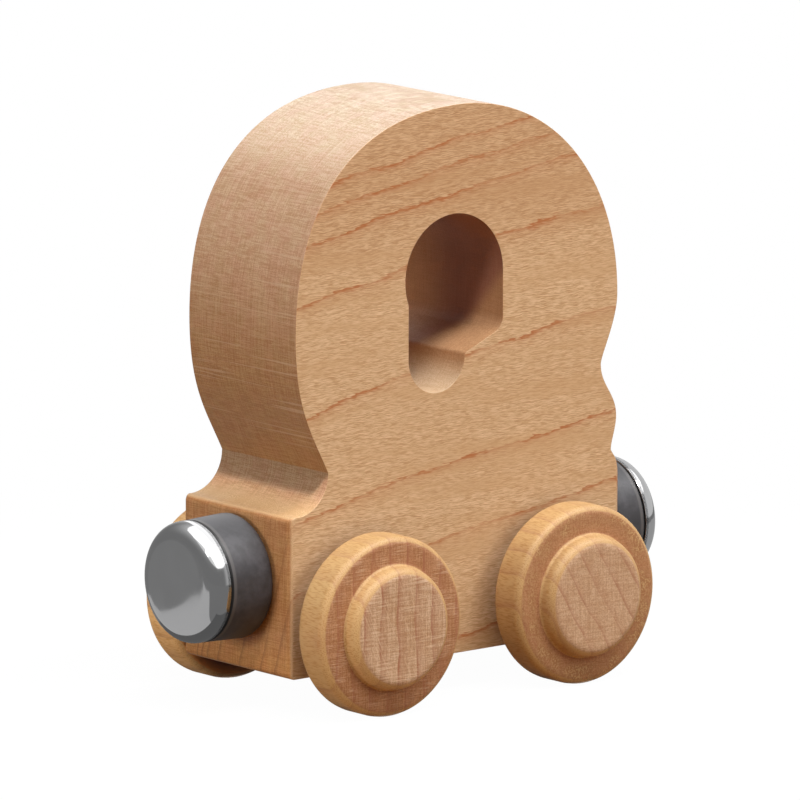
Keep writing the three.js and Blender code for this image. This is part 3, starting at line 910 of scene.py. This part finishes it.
class Turning(Maple):
    """Maple turned with its fibres along the axle, so that its faces show end grain.

    The more its face was sawn and the less it was sanded, the more it shows hatch and scratches. Torn fibres
    leave fuzz round the edge of the disc.
    """

    def __init__(self, settings, grain):
        name = f"wheel_maple_{grain.end}_{grain.side}"
        super().__init__(name, settings, True, WHEEL_END_FACING)
        self.grain = grain
        self.position = self.vector("ADD", self.position, (0.0, 0.0, DOWEL_LENGTH * grain.shift))
        self.grow(WHEEL_RING_WIDTH, WHEEL_FIBRES, WHEEL_FINENESS)
        squares = self.math("ADD", self.product(self.y, self.y), self.product(self.z, self.z))
        self.spread = self.math("SQRT", squares)
        self.pore = self.noise(self.position, **PORES)
        # Rim colour, made lighter on the back left wheel as painted light
        self.rim_wood = tinted(settings.rim, (grain.tone,) * 3)

    def years(self):
        """Years counted across the wheel at its own turn and spacing."""
        turn = math.radians(self.grain.turn)
        shift = self.grain.shift
        across = self.vector("DOT_PRODUCT", self.position, (0.0, math.cos(turn), math.sin(turn)))
        years = self.math("MULTIPLY_ADD", across, 1 / self.grain.spacing, shift)
        wave = self.noise(self.vector("ADD", self.position, (shift,) * 3), WHEEL_WAVES)
        return self.math("MULTIPLY_ADD", wave, WHEEL_WAVE_REACH, years)

    def sawn(self, plain, added):
        """A strength that grows with how much the face shows of the saw."""
        return plain + added * self.grain.sawn

    def rim(self):
        """Long grain round the tread and the hub, with faint ring lines."""
        fleck = self.remap(self.fibres["Fleck"], *RIM_FLECK_RANGE)
        return self.ringed(self.between(fleck, self.rim_wood, RIM_TINTS), RIM_RING_DEPTHS)

    def face(self):
        """End grain of hub and disc: pores, linen and ring lines under worn fibres, with painted shade in the
        middle of the inner face and painted light round its edge.
        """
        settings = self.settings
        hub_starts = (settings.boss_length + settings.width) / MM + HUB_STARTS_ABOVE
        on_hub = self.math("GREATER_THAN", self.x, hub_starts)
        wood = self.mix(on_hub, settings.face, settings.hub_face)
        wood = self.times(wood, self.mix(self.remap(self.pore, *PORE_RANGE), BETWEEN_PORES, IN_PORES))
        wood = self.threaded(wood, [self.sawn(*depth) for depth in FACE_WEAVE])
        wood = self.ringed(wood, {part: self.sawn(*depth) for part, depth in FACE_RING_DEPTHS.items()})
        for worn in (self.product(on_hub, self.scratches()), self.frayed()):
            wood = self.layer(wood, worn, settings.hub_face, SCRATCH_TINT)
        # Painted shade in the middle of the inner face and painted light near its edge
        middle = tinted(settings.face, INNER_PAINTED_SHADE)
        edge = tinted(self.rim_wood, INNER_PAINTED_LIGHT)
        inner_light_and_shade = self.mix(self.remap(self.spread, *INNER_SPREAD), middle, edge)
        inner = self.math("LESS_THAN", self.x, settings.boss_length / MM + INNER_REACH)
        return self.mix(inner, self.torn(wood), inner_light_and_shade)

    def scratches(self):
        """Long thin marks that lean across the face."""
        inputs = {"Vector": self.position, "Axis": (1, 0, 0), "Angle": math.radians(SCRATCH_LEAN)}
        slanted = self.add("ShaderNodeVectorRotate", inputs, rotation_type="AXIS_ANGLE").outputs[0]
        marks = self.streaks(slanted, SCRATCH_COUNTS)
        return self.remap(marks, *SCRATCH_RANGE, 0.0, self.sawn(0.0, SCRATCH_DEPTH))

    def frayed(self):
        """Pale level threads in patches, stronger on the hub."""
        patch = self.remap(self.hatch["Cloud"], *FRAYED_PATCHES, 0.0, self.sawn(0.0, FRAYED_DEPTH))
        thread = self.remap(self.hatch["Level"], *FRAYED_THREADS)
        return self.product(patch, thread, self.remap(self.x, *FRAYED_ALONG))

    def torn(self, wood):
        """Fuzz in patches round the edge of the disc."""
        fuzz = self.grain.fuzz
        patch = self.remap(self.hatch["Cloud"], *TORN_PATCHES, TORN_LEAST * fuzz, fuzz)
        torn = self.product(self.remap(self.spread, *TORN_SPREAD), patch)
        wood = self.layer(wood, torn, self.settings.face, TORN_TINT)
        tufts = self.remap(self.noise(self.position, TUFTS), *TUFT_RANGE)
        return self.layer(wood, self.product(torn, tufts), self.settings.rim, TUFT_TINT)


def wheel_maple(settings, grain):
    """The maple of one wheel."""
    wheel = Turning(settings, grain)
    wood = wheel.mix(wheel.end, wheel.rim(), wheel.face())
    return wheel.sealed(wood, wheel.remap(wheel.pore, *WHEEL_ROUGHNESS), WHEEL_BUMP)


# Metal, plastic and ferrite

MARK_RANGE = (0.3, 0.7)
WORN_METAL = (0.9, 0.9, 0.9)
AXLE_STEEL = {"tint": (0.60, 0.61, 0.62), "roughness": (0.25, 0.4), "marks": (0.1, 6.0, 6.0)}
SCREW_ZINC = {"tint": (0.55, 0.48, 0.30), "roughness": (0.3, 0.45), "marks": (3.0, 0.2, 0.2)}
CAP_NICKEL = {"roughness": (0.06, 0.1), "marks": (0.3, 0.3, 0.3)}
PLASTIC_GRIT = {"scale": 6.0, "detail": 3.0, "roughness": 0.6}
PLASTIC_CLOUD = {"scale": 0.6, "detail": 4.0, "roughness": 0.65}
PLASTIC_CLOUD_RANGE = (0.35, 0.7)
PLASTIC_PALER = (1.8, 1.8, 1.8)
PLASTIC_ROUGHNESS = (0.3, 0.7, 0.42, 0.52)
PLASTIC_BUMP = {"Strength": 0.2, "Distance": 0.02 * MM}
PLASTIC_IOR = 1.5
LIP_BEFORE_RIM = (0.8, 0.6)
LIP_PALENESS = 0.7
SEAM_BEFORE_RIM = (0.36, 0.26)
FERRITE_GRAIN = {"scale": 8.0, "detail": 2.0, "roughness": 0.7}
FERRITE_DARK = (0.03, 0.03, 0.032)
FERRITE_PALE = (0.06, 0.058, 0.062)
FERRITE_ROUGHNESS = (0.3, 0.7, 0.6, 0.8)


def metal(name, tint, roughness, marks):
    """Metal with faint marks of drawing or turning."""
    material, graph, shader = new_material(name)
    position, _ = place_on_piece(graph, True)
    worn = graph.streaks(position, marks, 3.0)
    graph.feed(shader.inputs["Base Color"], graph.mix(worn, tinted(tint, WORN_METAL), tint))
    graph.feed(shader.inputs["Roughness"], graph.remap(worn, *MARK_RANGE, *roughness))
    shader.inputs["Metallic"].default_value = 1.0
    return material


def coupler_plastic(settings):
    """Matt moulded plastic with a fine texture from the mould, a paler band on its rim, and a near-black seam
    beside the cap that is painted shade.
    """
    material, graph, shader = new_material("coupler_plastic")
    position, _ = place_on_piece(graph, False)
    cloud = graph.noise(position, **PLASTIC_CLOUD)
    along = graph.parts(position)[1]
    rim = SLEEVE_HIGH.x / MM
    pale = graph.remap(cloud, *PLASTIC_CLOUD_RANGE)
    skin = graph.layer(settings.plastic, pale, settings.plastic, PLASTIC_PALER)
    lip = graph.remap(along, *(rim - before for before in LIP_BEFORE_RIM), 0.0, LIP_PALENESS)
    # Painted shade in the seam beside the cap
    seam = graph.remap(along, *(rim - before for before in SEAM_BEFORE_RIM))
    skin = graph.mix(seam, graph.mix(lip, skin, settings.lip), settings.seam)
    graph.feed(shader.inputs["Base Color"], skin)
    graph.feed(shader.inputs["Roughness"], graph.remap(cloud, *PLASTIC_ROUGHNESS))
    bump = graph.add("ShaderNodeBump", {**PLASTIC_BUMP, "Height": graph.noise(position, **PLASTIC_GRIT)})
    graph.feed(shader.inputs["Normal"], bump.outputs[0])
    shader.inputs["IOR"].default_value = PLASTIC_IOR
    return material


def magnet_ferrite():
    """Sintered ferrite, nearly black, with a grainy surface."""
    material, graph, shader = new_material("magnet_ferrite")
    position, _ = place_on_piece(graph, False)
    speck = graph.noise(position, **FERRITE_GRAIN)
    graph.feed(shader.inputs["Base Color"], graph.mix(speck, FERRITE_DARK, FERRITE_PALE))
    graph.feed(shader.inputs["Roughness"], graph.remap(speck, *FERRITE_ROUGHNESS))
    return material


# Pieces

WHEEL_STEPS = 128
SEAT_EDGE = 0.15 * MM
BOSS_EDGE = 0.3 * MM
COUPLER_STEPS = 128
SCREW_SHANK = 2.9 * MM
COUNTERSINK = 1.6 * MM
SLEEVE_MOUTH_EDGE = 0.1 * MM
SLEEVE_FLOOR_FILLET = 0.2 * MM
CAP_SIDE_WALL = 1.2 * MM
CAP_MOUTH_EDGE = 0.08 * MM
CAP_FOOT_EDGE = 0.25 * MM
CAP_ROUND_STEPS = 16


def wheel_profile(size):
    """Half section of a wheel as (radius, along) from the bottom of its blind hole to the hub's face."""
    bore = (AXLE_HIGH.z - AXLE_LOW.z) / 2 + size.seat_clearance
    inside = size.boss_length
    outside = inside + size.width
    face = WHEEL_HIGH.y - WHEEL_LOW.y
    hub = size.hub_diameter / 2
    boss = size.boss_diameter / 2
    return rounded_profile([
        (0, size.seat_depth, 0),
        (bore, size.seat_depth, 0),
        (bore, 0, SEAT_EDGE),
        (boss, 0, BOSS_EDGE),
        (boss, inside, BOSS_EDGE),
        (AXLE_HEIGHT, inside, size.tread_edge),
        (AXLE_HEIGHT, outside, size.tread_edge),
        (hub, outside, size.hub_root),
        (hub, face, size.hub_edge),
        (0, face, 0),
    ])


def sleeve_profile(size):
    """Section of the sleeve, closed on itself, as (radius, distance from the car's middle)."""
    base = (SLEEVE_HIGH.z - SLEEVE_LOW.z) / 2
    rim = (CAP_HIGH.z - CAP_LOW.z) / 2
    bore = rim - size.wall
    floor = SLEEVE_LOW.x + size.floor
    head = (SCREW_HIGH.z - SCREW_LOW.z) / 2 + size.screw_clearance
    hole = SCREW_SHANK / 2 + size.screw_clearance
    return rounded_profile([
        (hole, SLEEVE_LOW.x, 0),
        (base, SLEEVE_LOW.x, size.base_edge),
        (rim, SLEEVE_HIGH.x, size.rim_edge),
        (bore, SLEEVE_HIGH.x, SLEEVE_MOUTH_EDGE),
        (bore, floor, SLEEVE_FLOOR_FILLET),
        (head + size.screw_clearance, floor, 0),
        (hole, floor - COUNTERSINK, 0),
    ])


def cap_profile(size):
    """Half section of the cap as (radius, distance from the car's middle)."""
    rim = (CAP_HIGH.z - CAP_LOW.z) / 2
    recess = CAP_HIGH.x - size.cap_wall
    bore = rim - CAP_SIDE_WALL
    return rounded_profile([
        (0, recess, 0),
        (bore, recess, 0),
        (bore, CAP_LOW.x, CAP_MOUTH_EDGE),
        (rim, CAP_LOW.x, CAP_FOOT_EDGE),
        (rim, CAP_HIGH.x, size.cap_edge),
        (0, CAP_HIGH.x, 0),
    ], CAP_ROUND_STEPS)


def dress_node(node, material):
    """Gives a CAD node that stays in view a better material."""
    mesh = frame["nodes"][node].data
    mesh.materials.clear()
    mesh.materials.append(material)


def stand_for(piece, node, body, slot):
    """Puts a finished piece in the place of a CAD node, on the same body."""
    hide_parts(node)
    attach(piece, body)


class LETTERCAR_OT_body(bpy.types.Operator):
    """Cut the letter and the block from one maple board, with the bores for the axles"""

    bl_idname = "letter_car.body"
    bl_label = "Letter body"

    def execute(self, context):
        size = context.scene.letter_car.body
        bore = (AXLE_HIGH.z - AXLE_LOW.z) / 2 + size.bore_clearance
        outlines = [letter_outline(size), counter_outline(size)]
        outlines += [bore_outline(centre, bore) for centre in AXLE_CENTRES.values()]

        def easing_at(place):
            """More sanding on the upright edges of the block, little in the hole, and uneven elsewhere."""
            if max(abs(place.x), abs(place.z - HOLE_MIDDLE * MM)) < HOLE_REACH * MM:
                return size.hole_easing
            from_end = (BODY_HIGH.x - abs(place.x)) / EASED_END
            low = place.z < BODY_LOW.z + size.block_height + EASED_ABOVE
            easing = size.edge_easing
            if low and from_end < 1:
                easing += (size.end_easing - size.edge_easing) * (1 - from_end)
            return easing * (1 + size.easing_variation * noise.noise(place / EASING_PATCH))

        board = eased_board(outlines, BODY_HIGH.y, easing_at)
        body = finish_mesh("maple_letter_body", board, body_maple(size))
        stand_for(body, "letter_body", "car_body", "body_maple")
        return {"FINISHED"}


class LETTERCAR_OT_wheels(bpy.types.Operator):
    """Turn the four wheels, with the hub on the outer face, and finish the two steel axles"""

    bl_idname = "letter_car.wheels"
    bl_label = "Wheels and axles"

    def execute(self, context):
        size = context.scene.letter_car.wheels
        for grain in WHEEL_GRAIN:
            node = f"{grain.end}_{grain.side}_wheel"
            mesh_builder = turned(wheel_profile(size), WHEEL_STEPS)
            wheel = finish_mesh(f"turned_{node}", mesh_builder, wheel_maple(size, grain))
            centre = AXLE_CENTRES[f"{grain.side}_wheelset"]
            outward = 1 if grain.end == "back" else -1
            wheel.location = (centre.x, outward * WHEEL_LOW.y, centre.z)
            wheel.rotation_euler = (0, 0, 0 if outward > 0 else math.pi)
            stand_for(wheel, node, f"{grain.side}_wheelset", "wheel_maple")
        steel = metal("axle_steel", **AXLE_STEEL)
        for side in SIDES:
            dress_node(f"{side}_axle", steel)
        return {"FINISHED"}


class LETTERCAR_OT_couplers(bpy.types.Operator):
    """Make the sleeves and plated caps of the couplers, and finish the magnets and screws inside them"""

    bl_idname = "letter_car.couplers"
    bl_label = "Couplers"

    def execute(self, context):
        size = context.scene.letter_car.couplers
        plastic = coupler_plastic(size)
        nickel = metal("coupler_nickel", size.nickel, **CAP_NICKEL)
        zinc = metal("screw_steel", **SCREW_ZINC)
        ferrite = magnet_ferrite()
        pieces = (
            ("moulded_sleeve", "sleeve", sleeve_profile(size), True, plastic, "coupler_plastic"),
            ("plated_cap", "cap", cap_profile(size), False, nickel, "coupler_nickel"),
        )
        for side, outward in zip(SIDES, (-1, 1)):
            for name, part, profile, closed, material, slot in pieces:
                mesh_builder = turned(profile, COUPLER_STEPS, closed)
                piece = finish_mesh(f"{side}_{name}", mesh_builder, material)
                piece.location = (0, 0, COUPLER_HEIGHT)
                piece.rotation_euler = (0, 0, -outward * math.pi / 2)
                stand_for(piece, f"{side}_coupler_{part}", "car_body", slot)
            dress_node(f"{side}_coupler_magnet", ferrite)
            dress_node(f"{side}_coupler_screw", zinc)
        return {"FINISHED"}


# Stage

Lamp = namedtuple("Lamp", "name place towards size power mirrored")
LAMPS = (
    Lamp("strip_softbox", (0.000, -0.245, 0.600), (0.000, -0.245, 0.0), (1.25, 0.12), 7.3, True),
    Lamp("overhead_softbox", (0.160, -0.310, 0.600), (0.160, -0.310, 0.0), (1.25, 1.46), 0.9, False),
    Lamp("front_fill", (0.250, -0.750, 0.420), (0, 0, 0.031), (0.4, 0.4), 2.2, False),
    Lamp("left_fill", (-0.750, 0.050, 0.100), (0, 0, 0.031), (0.1, 0.16), 2.2, False),
    Lamp("back_fill", (0.350, 0.750, 0.120), (0, 0, 0.031), (0.4, 0.4), 2.0, False),
)
DISC_SIDES = 64
CARD_SIDES = 4
Card = namedtuple("Card", "name sides place size facing glow")
CARDS = (
    Card("softbox_front", CARD_SIDES, (0.160, -0.310, 0.605), (1.25, 1.46), (0, 0, -1), 2.0),
    Card("bright_strip", CARD_SIDES, (-0.0221, 0.000, 0.0342), (0.020, 0.0262), (-1, 0, 0), 1.6),
    Card("grey_table", DISC_SIDES, (0, 0, 0.0003), (0.960, 0.960), (0, 0, 1), 0.24),
    Card("pale_paper", CARD_SIDES, (-0.067, 0.019, 0.0005), (0.066, 0.054), (0, 0, 1), 0.57),
    Card("under_car", CARD_SIDES, (-0.003, 0.004, 0.0007), (0.062, 0.036), (0, 0, 1), 0.14),
    Card("right_paper", CARD_SIDES, (0.090, 0.000, 0.0006), (0.100, 0.120), (0, 0, 1), 0.45),
    Card("dark_disc", DISC_SIDES, (-0.0500, 0.0275, 0.0095), (0.0098, 0.0104), (0.626, -0.758, 0.183), 0.27),
)
SURROUND_RADIUS = 0.48
SURROUND_LOW = 0.27
SURROUND_RISE = 0.47
SURROUND_SWEEP = 1.5
SURROUND_FADE = {2: (0.15, 0.70, 0.23, 0.65), 0: (0.05, 0.40, 0.23, 0.75)}
FLOOR_RADIUS = 1.6
FLOOR_SIDES = 96
FLOOR_FADE = (0.05, 0.11)
FLOOR_SHADOW = (0.025, 0.025, 0.025)
FLOOR_GLOW = 0.98
WHITE = (1, 1, 1)
SENSOR_WIDTH = 36.0


def bare_material(name):
    """A material without a shader, its graph and the socket of its surface."""
    material = bpy.data.materials.new(name)
    material.use_nodes = True
    nodes = material.node_tree.nodes
    nodes.remove(nodes["Principled BSDF"])
    return material, Graph(material.node_tree), nodes["Material Output"].inputs["Surface"]


def seen_directly(graph):
    """One for rays from the camera or off polished and clear surfaces, which see the white background."""
    path = graph.add("ShaderNodeLightPath").outputs
    mirrored = graph.math("MAXIMUM", path["Is Glossy Ray"], path["Is Transmission Ray"])
    return graph.math("MAXIMUM", path["Is Camera Ray"], mirrored)


def set_world(scene, stage):
    """White all round where it is seen, and dimmer as a light."""
    world = bpy.data.worlds.new("studio")
    world.use_nodes = True
    scene.world = world
    graph = Graph(world.node_tree)
    background = world.node_tree.nodes["Background"].inputs
    graph.feed(background["Color"], WHITE)
    strength = graph.add("ShaderNodeMix", {0: seen_directly(graph), 2: stage.ambient, 3: 1.0}).outputs[0]
    graph.feed(background["Strength"], strength)


def lay_floor(stage):
    """A pale floor that keeps the car's shadow and turns to plain white away from it."""
    mesh_builder = bmesh.new()
    bmesh.ops.create_circle(mesh_builder, cap_ends=True, segments=FLOOR_SIDES, radius=FLOOR_RADIUS)
    material, graph, output = bare_material("pale_floor")
    plain = graph.add("ShaderNodeBsdfDiffuse", {"Color": stage.floor_bounce}).outputs[0]
    shadowed = graph.add("ShaderNodeBsdfDiffuse", {"Color": FLOOR_SHADOW}).outputs[0]
    glow = graph.add("ShaderNodeEmission", {"Color": WHITE, "Strength": FLOOR_GLOW}).outputs[0]
    white = graph.add("ShaderNodeEmission", {"Color": WHITE, "Strength": 1.0}).outputs[0]
    near = graph.add("ShaderNodeAddShader", {0: shadowed, 1: glow}).outputs[0]
    away = graph.vector("LENGTH", graph.add("ShaderNodeTexCoord").outputs["Object"])
    fade = graph.remap(away, *FLOOR_FADE)
    seen = graph.add("ShaderNodeMixShader", {0: fade, 1: near, 2: white}).outputs[0]
    mixed = graph.add("ShaderNodeMixShader", {0: seen_directly(graph), 1: plain, 2: seen}).outputs[0]
    graph.feed(output, mixed)
    finish_mesh("pale_floor", mesh_builder, material)


def hang_lamp(lamp):
    """A softbox that faces a place, with or without a reflection in polished surfaces."""
    light = bpy.data.lights.new(lamp.name, "AREA")
    light.shape = "RECTANGLE"
    light.size, light.size_y = lamp.size
    light.energy = lamp.power
    holder = bpy.data.objects.new(lamp.name, light)
    bpy.context.scene.collection.objects.link(holder)
    holder.location = lamp.place
    aim = Vector(lamp.towards) - Vector(lamp.place)
    holder.rotation_euler = aim.to_track_quat("-Z", "Y").to_euler()
    holder.visible_glossy = lamp.mirrored


def only_mirrored(name, mesh_builder, glow=None, fade=None):
    """A card of one brightness, or of one that fades along its axes, that only polished surfaces show."""
    material, graph, output = bare_material(name)
    material.cycles.emission_sampling = "NONE"
    if fade:
        spots = graph.parts(graph.add("ShaderNodeTexCoord").outputs["Object"])
        glow = graph.math("MAXIMUM", *[graph.remap(spots[axis], *limits) for axis, limits in fade.items()])
    light = graph.add("ShaderNodeEmission", {"Color": WHITE, "Strength": glow}).outputs[0]
    clear = graph.add("ShaderNodeBsdfTransparent").outputs[0]
    behind = graph.add("ShaderNodeNewGeometry").outputs["Backfacing"]
    graph.feed(output, graph.add("ShaderNodeMixShader", {0: behind, 1: light, 2: clear}).outputs[0])
    card = finish_mesh(name, mesh_builder, material)
    card.visible_camera = False
    card.visible_diffuse = False
    card.visible_transmission = False
    card.visible_shadow = False
    return card


def set_card(card):
    """A flat card, round or with four sides, of the given size across."""
    mesh_builder = bmesh.new()
    reach = 0.5 / math.cos(math.pi / card.sides)
    turns = [math.tau * (step + 0.5) / card.sides for step in range(card.sides)]
    width, height = card.size
    spots = [(width * reach * math.cos(turn), height * reach * math.sin(turn), 0) for turn in turns]
    mesh_builder.faces.new([mesh_builder.verts.new(spot) for spot in spots])
    piece = only_mirrored(card.name, mesh_builder, card.glow)
    if piece.data.polygons[0].normal.z < 0:
        piece.data.flip_normals()
    piece.location = card.place
    piece.rotation_euler = Vector(card.facing).to_track_quat("Z", "Y").to_euler()


def set_surround():
    """A dim wall round the set that rises from the front to the back."""
    mesh_builder = bmesh.new()
    rows = [[], []]
    for spot in arc(Vector((0, 0)), SURROUND_RADIUS, -90, 270, DISC_SIDES)[:-1]:
        behind = (1 + spot.y / SURROUND_RADIUS) / 2
        top = SURROUND_LOW + SURROUND_RISE * behind ** SURROUND_SWEEP
        for row, height in zip(rows, (0, top)):
            row.append(mesh_builder.verts.new((spot.x, spot.y, height)))
    bridge(mesh_builder, rows, False)
    wall = only_mirrored("surround", mesh_builder, fade=SURROUND_FADE)
    panel = wall.data.polygons[0]
    if panel.normal.dot(panel.center) > 0:
        wall.data.flip_normals()


def aim_camera(scene, stage):
    """A long lens at the angle from which the car is read."""
    camera = bpy.data.cameras.new("camera")
    camera.lens = stage.lens
    camera.sensor_width = SENSOR_WIDTH
    holder = bpy.data.objects.new("camera", camera)
    scene.collection.objects.link(holder)
    flat = math.cos(stage.elevation)
    across = math.sin(stage.azimuth) * flat
    ahead = math.cos(stage.azimuth) * flat
    back = Vector((across, -ahead, math.sin(stage.elevation)))
    target = Vector((stage.target_x, 0, stage.target_z))
    turn = back.to_track_quat("Z", "Y").to_matrix() @ Matrix.Rotation(stage.roll, 3, "Z")
    holder.matrix_world = Matrix.Translation(target + back * stage.distance) @ turn.to_4x4()
    scene.camera = holder


class LETTERCAR_OT_stage(bpy.types.Operator):
    """Set the pale floor, the soft light and the camera"""

    bl_idname = "letter_car.stage"
    bl_label = "Stage"

    def execute(self, context):
        stage = context.scene.letter_car.stage
        context.scene.view_settings.view_transform = "Standard"
        set_world(context.scene, stage)
        lay_floor(stage)
        for lamp in LAMPS:
            hang_lamp(lamp)
        for card in CARDS:
            set_card(card)
        set_surround()
        aim_camera(context.scene, stage)
        return {"FINISHED"}


# Panel and steps

STEPS = {
    "body": "letter_car.body",
    "wheels": "letter_car.wheels",
    "couplers": "letter_car.couplers",
    "stage": "letter_car.stage",
}


class LETTERCAR_PT_panel(bpy.types.Panel):
    """Settings and steps of the letter car"""

    bl_label = "Letter car"
    bl_space_type = "VIEW_3D"
    bl_region_type = "UI"
    bl_category = "Letter car"

    def draw(self, context):
        settings = context.scene.letter_car
        for name, step in STEPS.items():
            box = self.layout.box()
            box.operator(step)
            group = getattr(settings, name)
            for key in group.__annotations__:
                box.prop(group, key)


CLASSES = (
    BodySettings,
    WheelSettings,
    CouplerSettings,
    StageSettings,
    LetterCarSettings,
    LETTERCAR_OT_body,
    LETTERCAR_OT_wheels,
    LETTERCAR_OT_couplers,
    LETTERCAR_OT_stage,
    LETTERCAR_PT_panel,
)


def register():
    for kind in CLASSES:
        bpy.utils.register_class(kind)
    bpy.types.Scene.letter_car = PointerProperty(type=LetterCarSettings)


def unregister():
    del bpy.types.Scene.letter_car
    for kind in reversed(CLASSES):
        bpy.utils.unregister_class(kind)


def main():
    """Builds the car step by step."""
    register()
    bpy.ops.letter_car.body()
    bpy.ops.letter_car.wheels()
    bpy.ops.letter_car.couplers()
    bpy.ops.letter_car.stage()


if __name__ == "__main__":
    main()
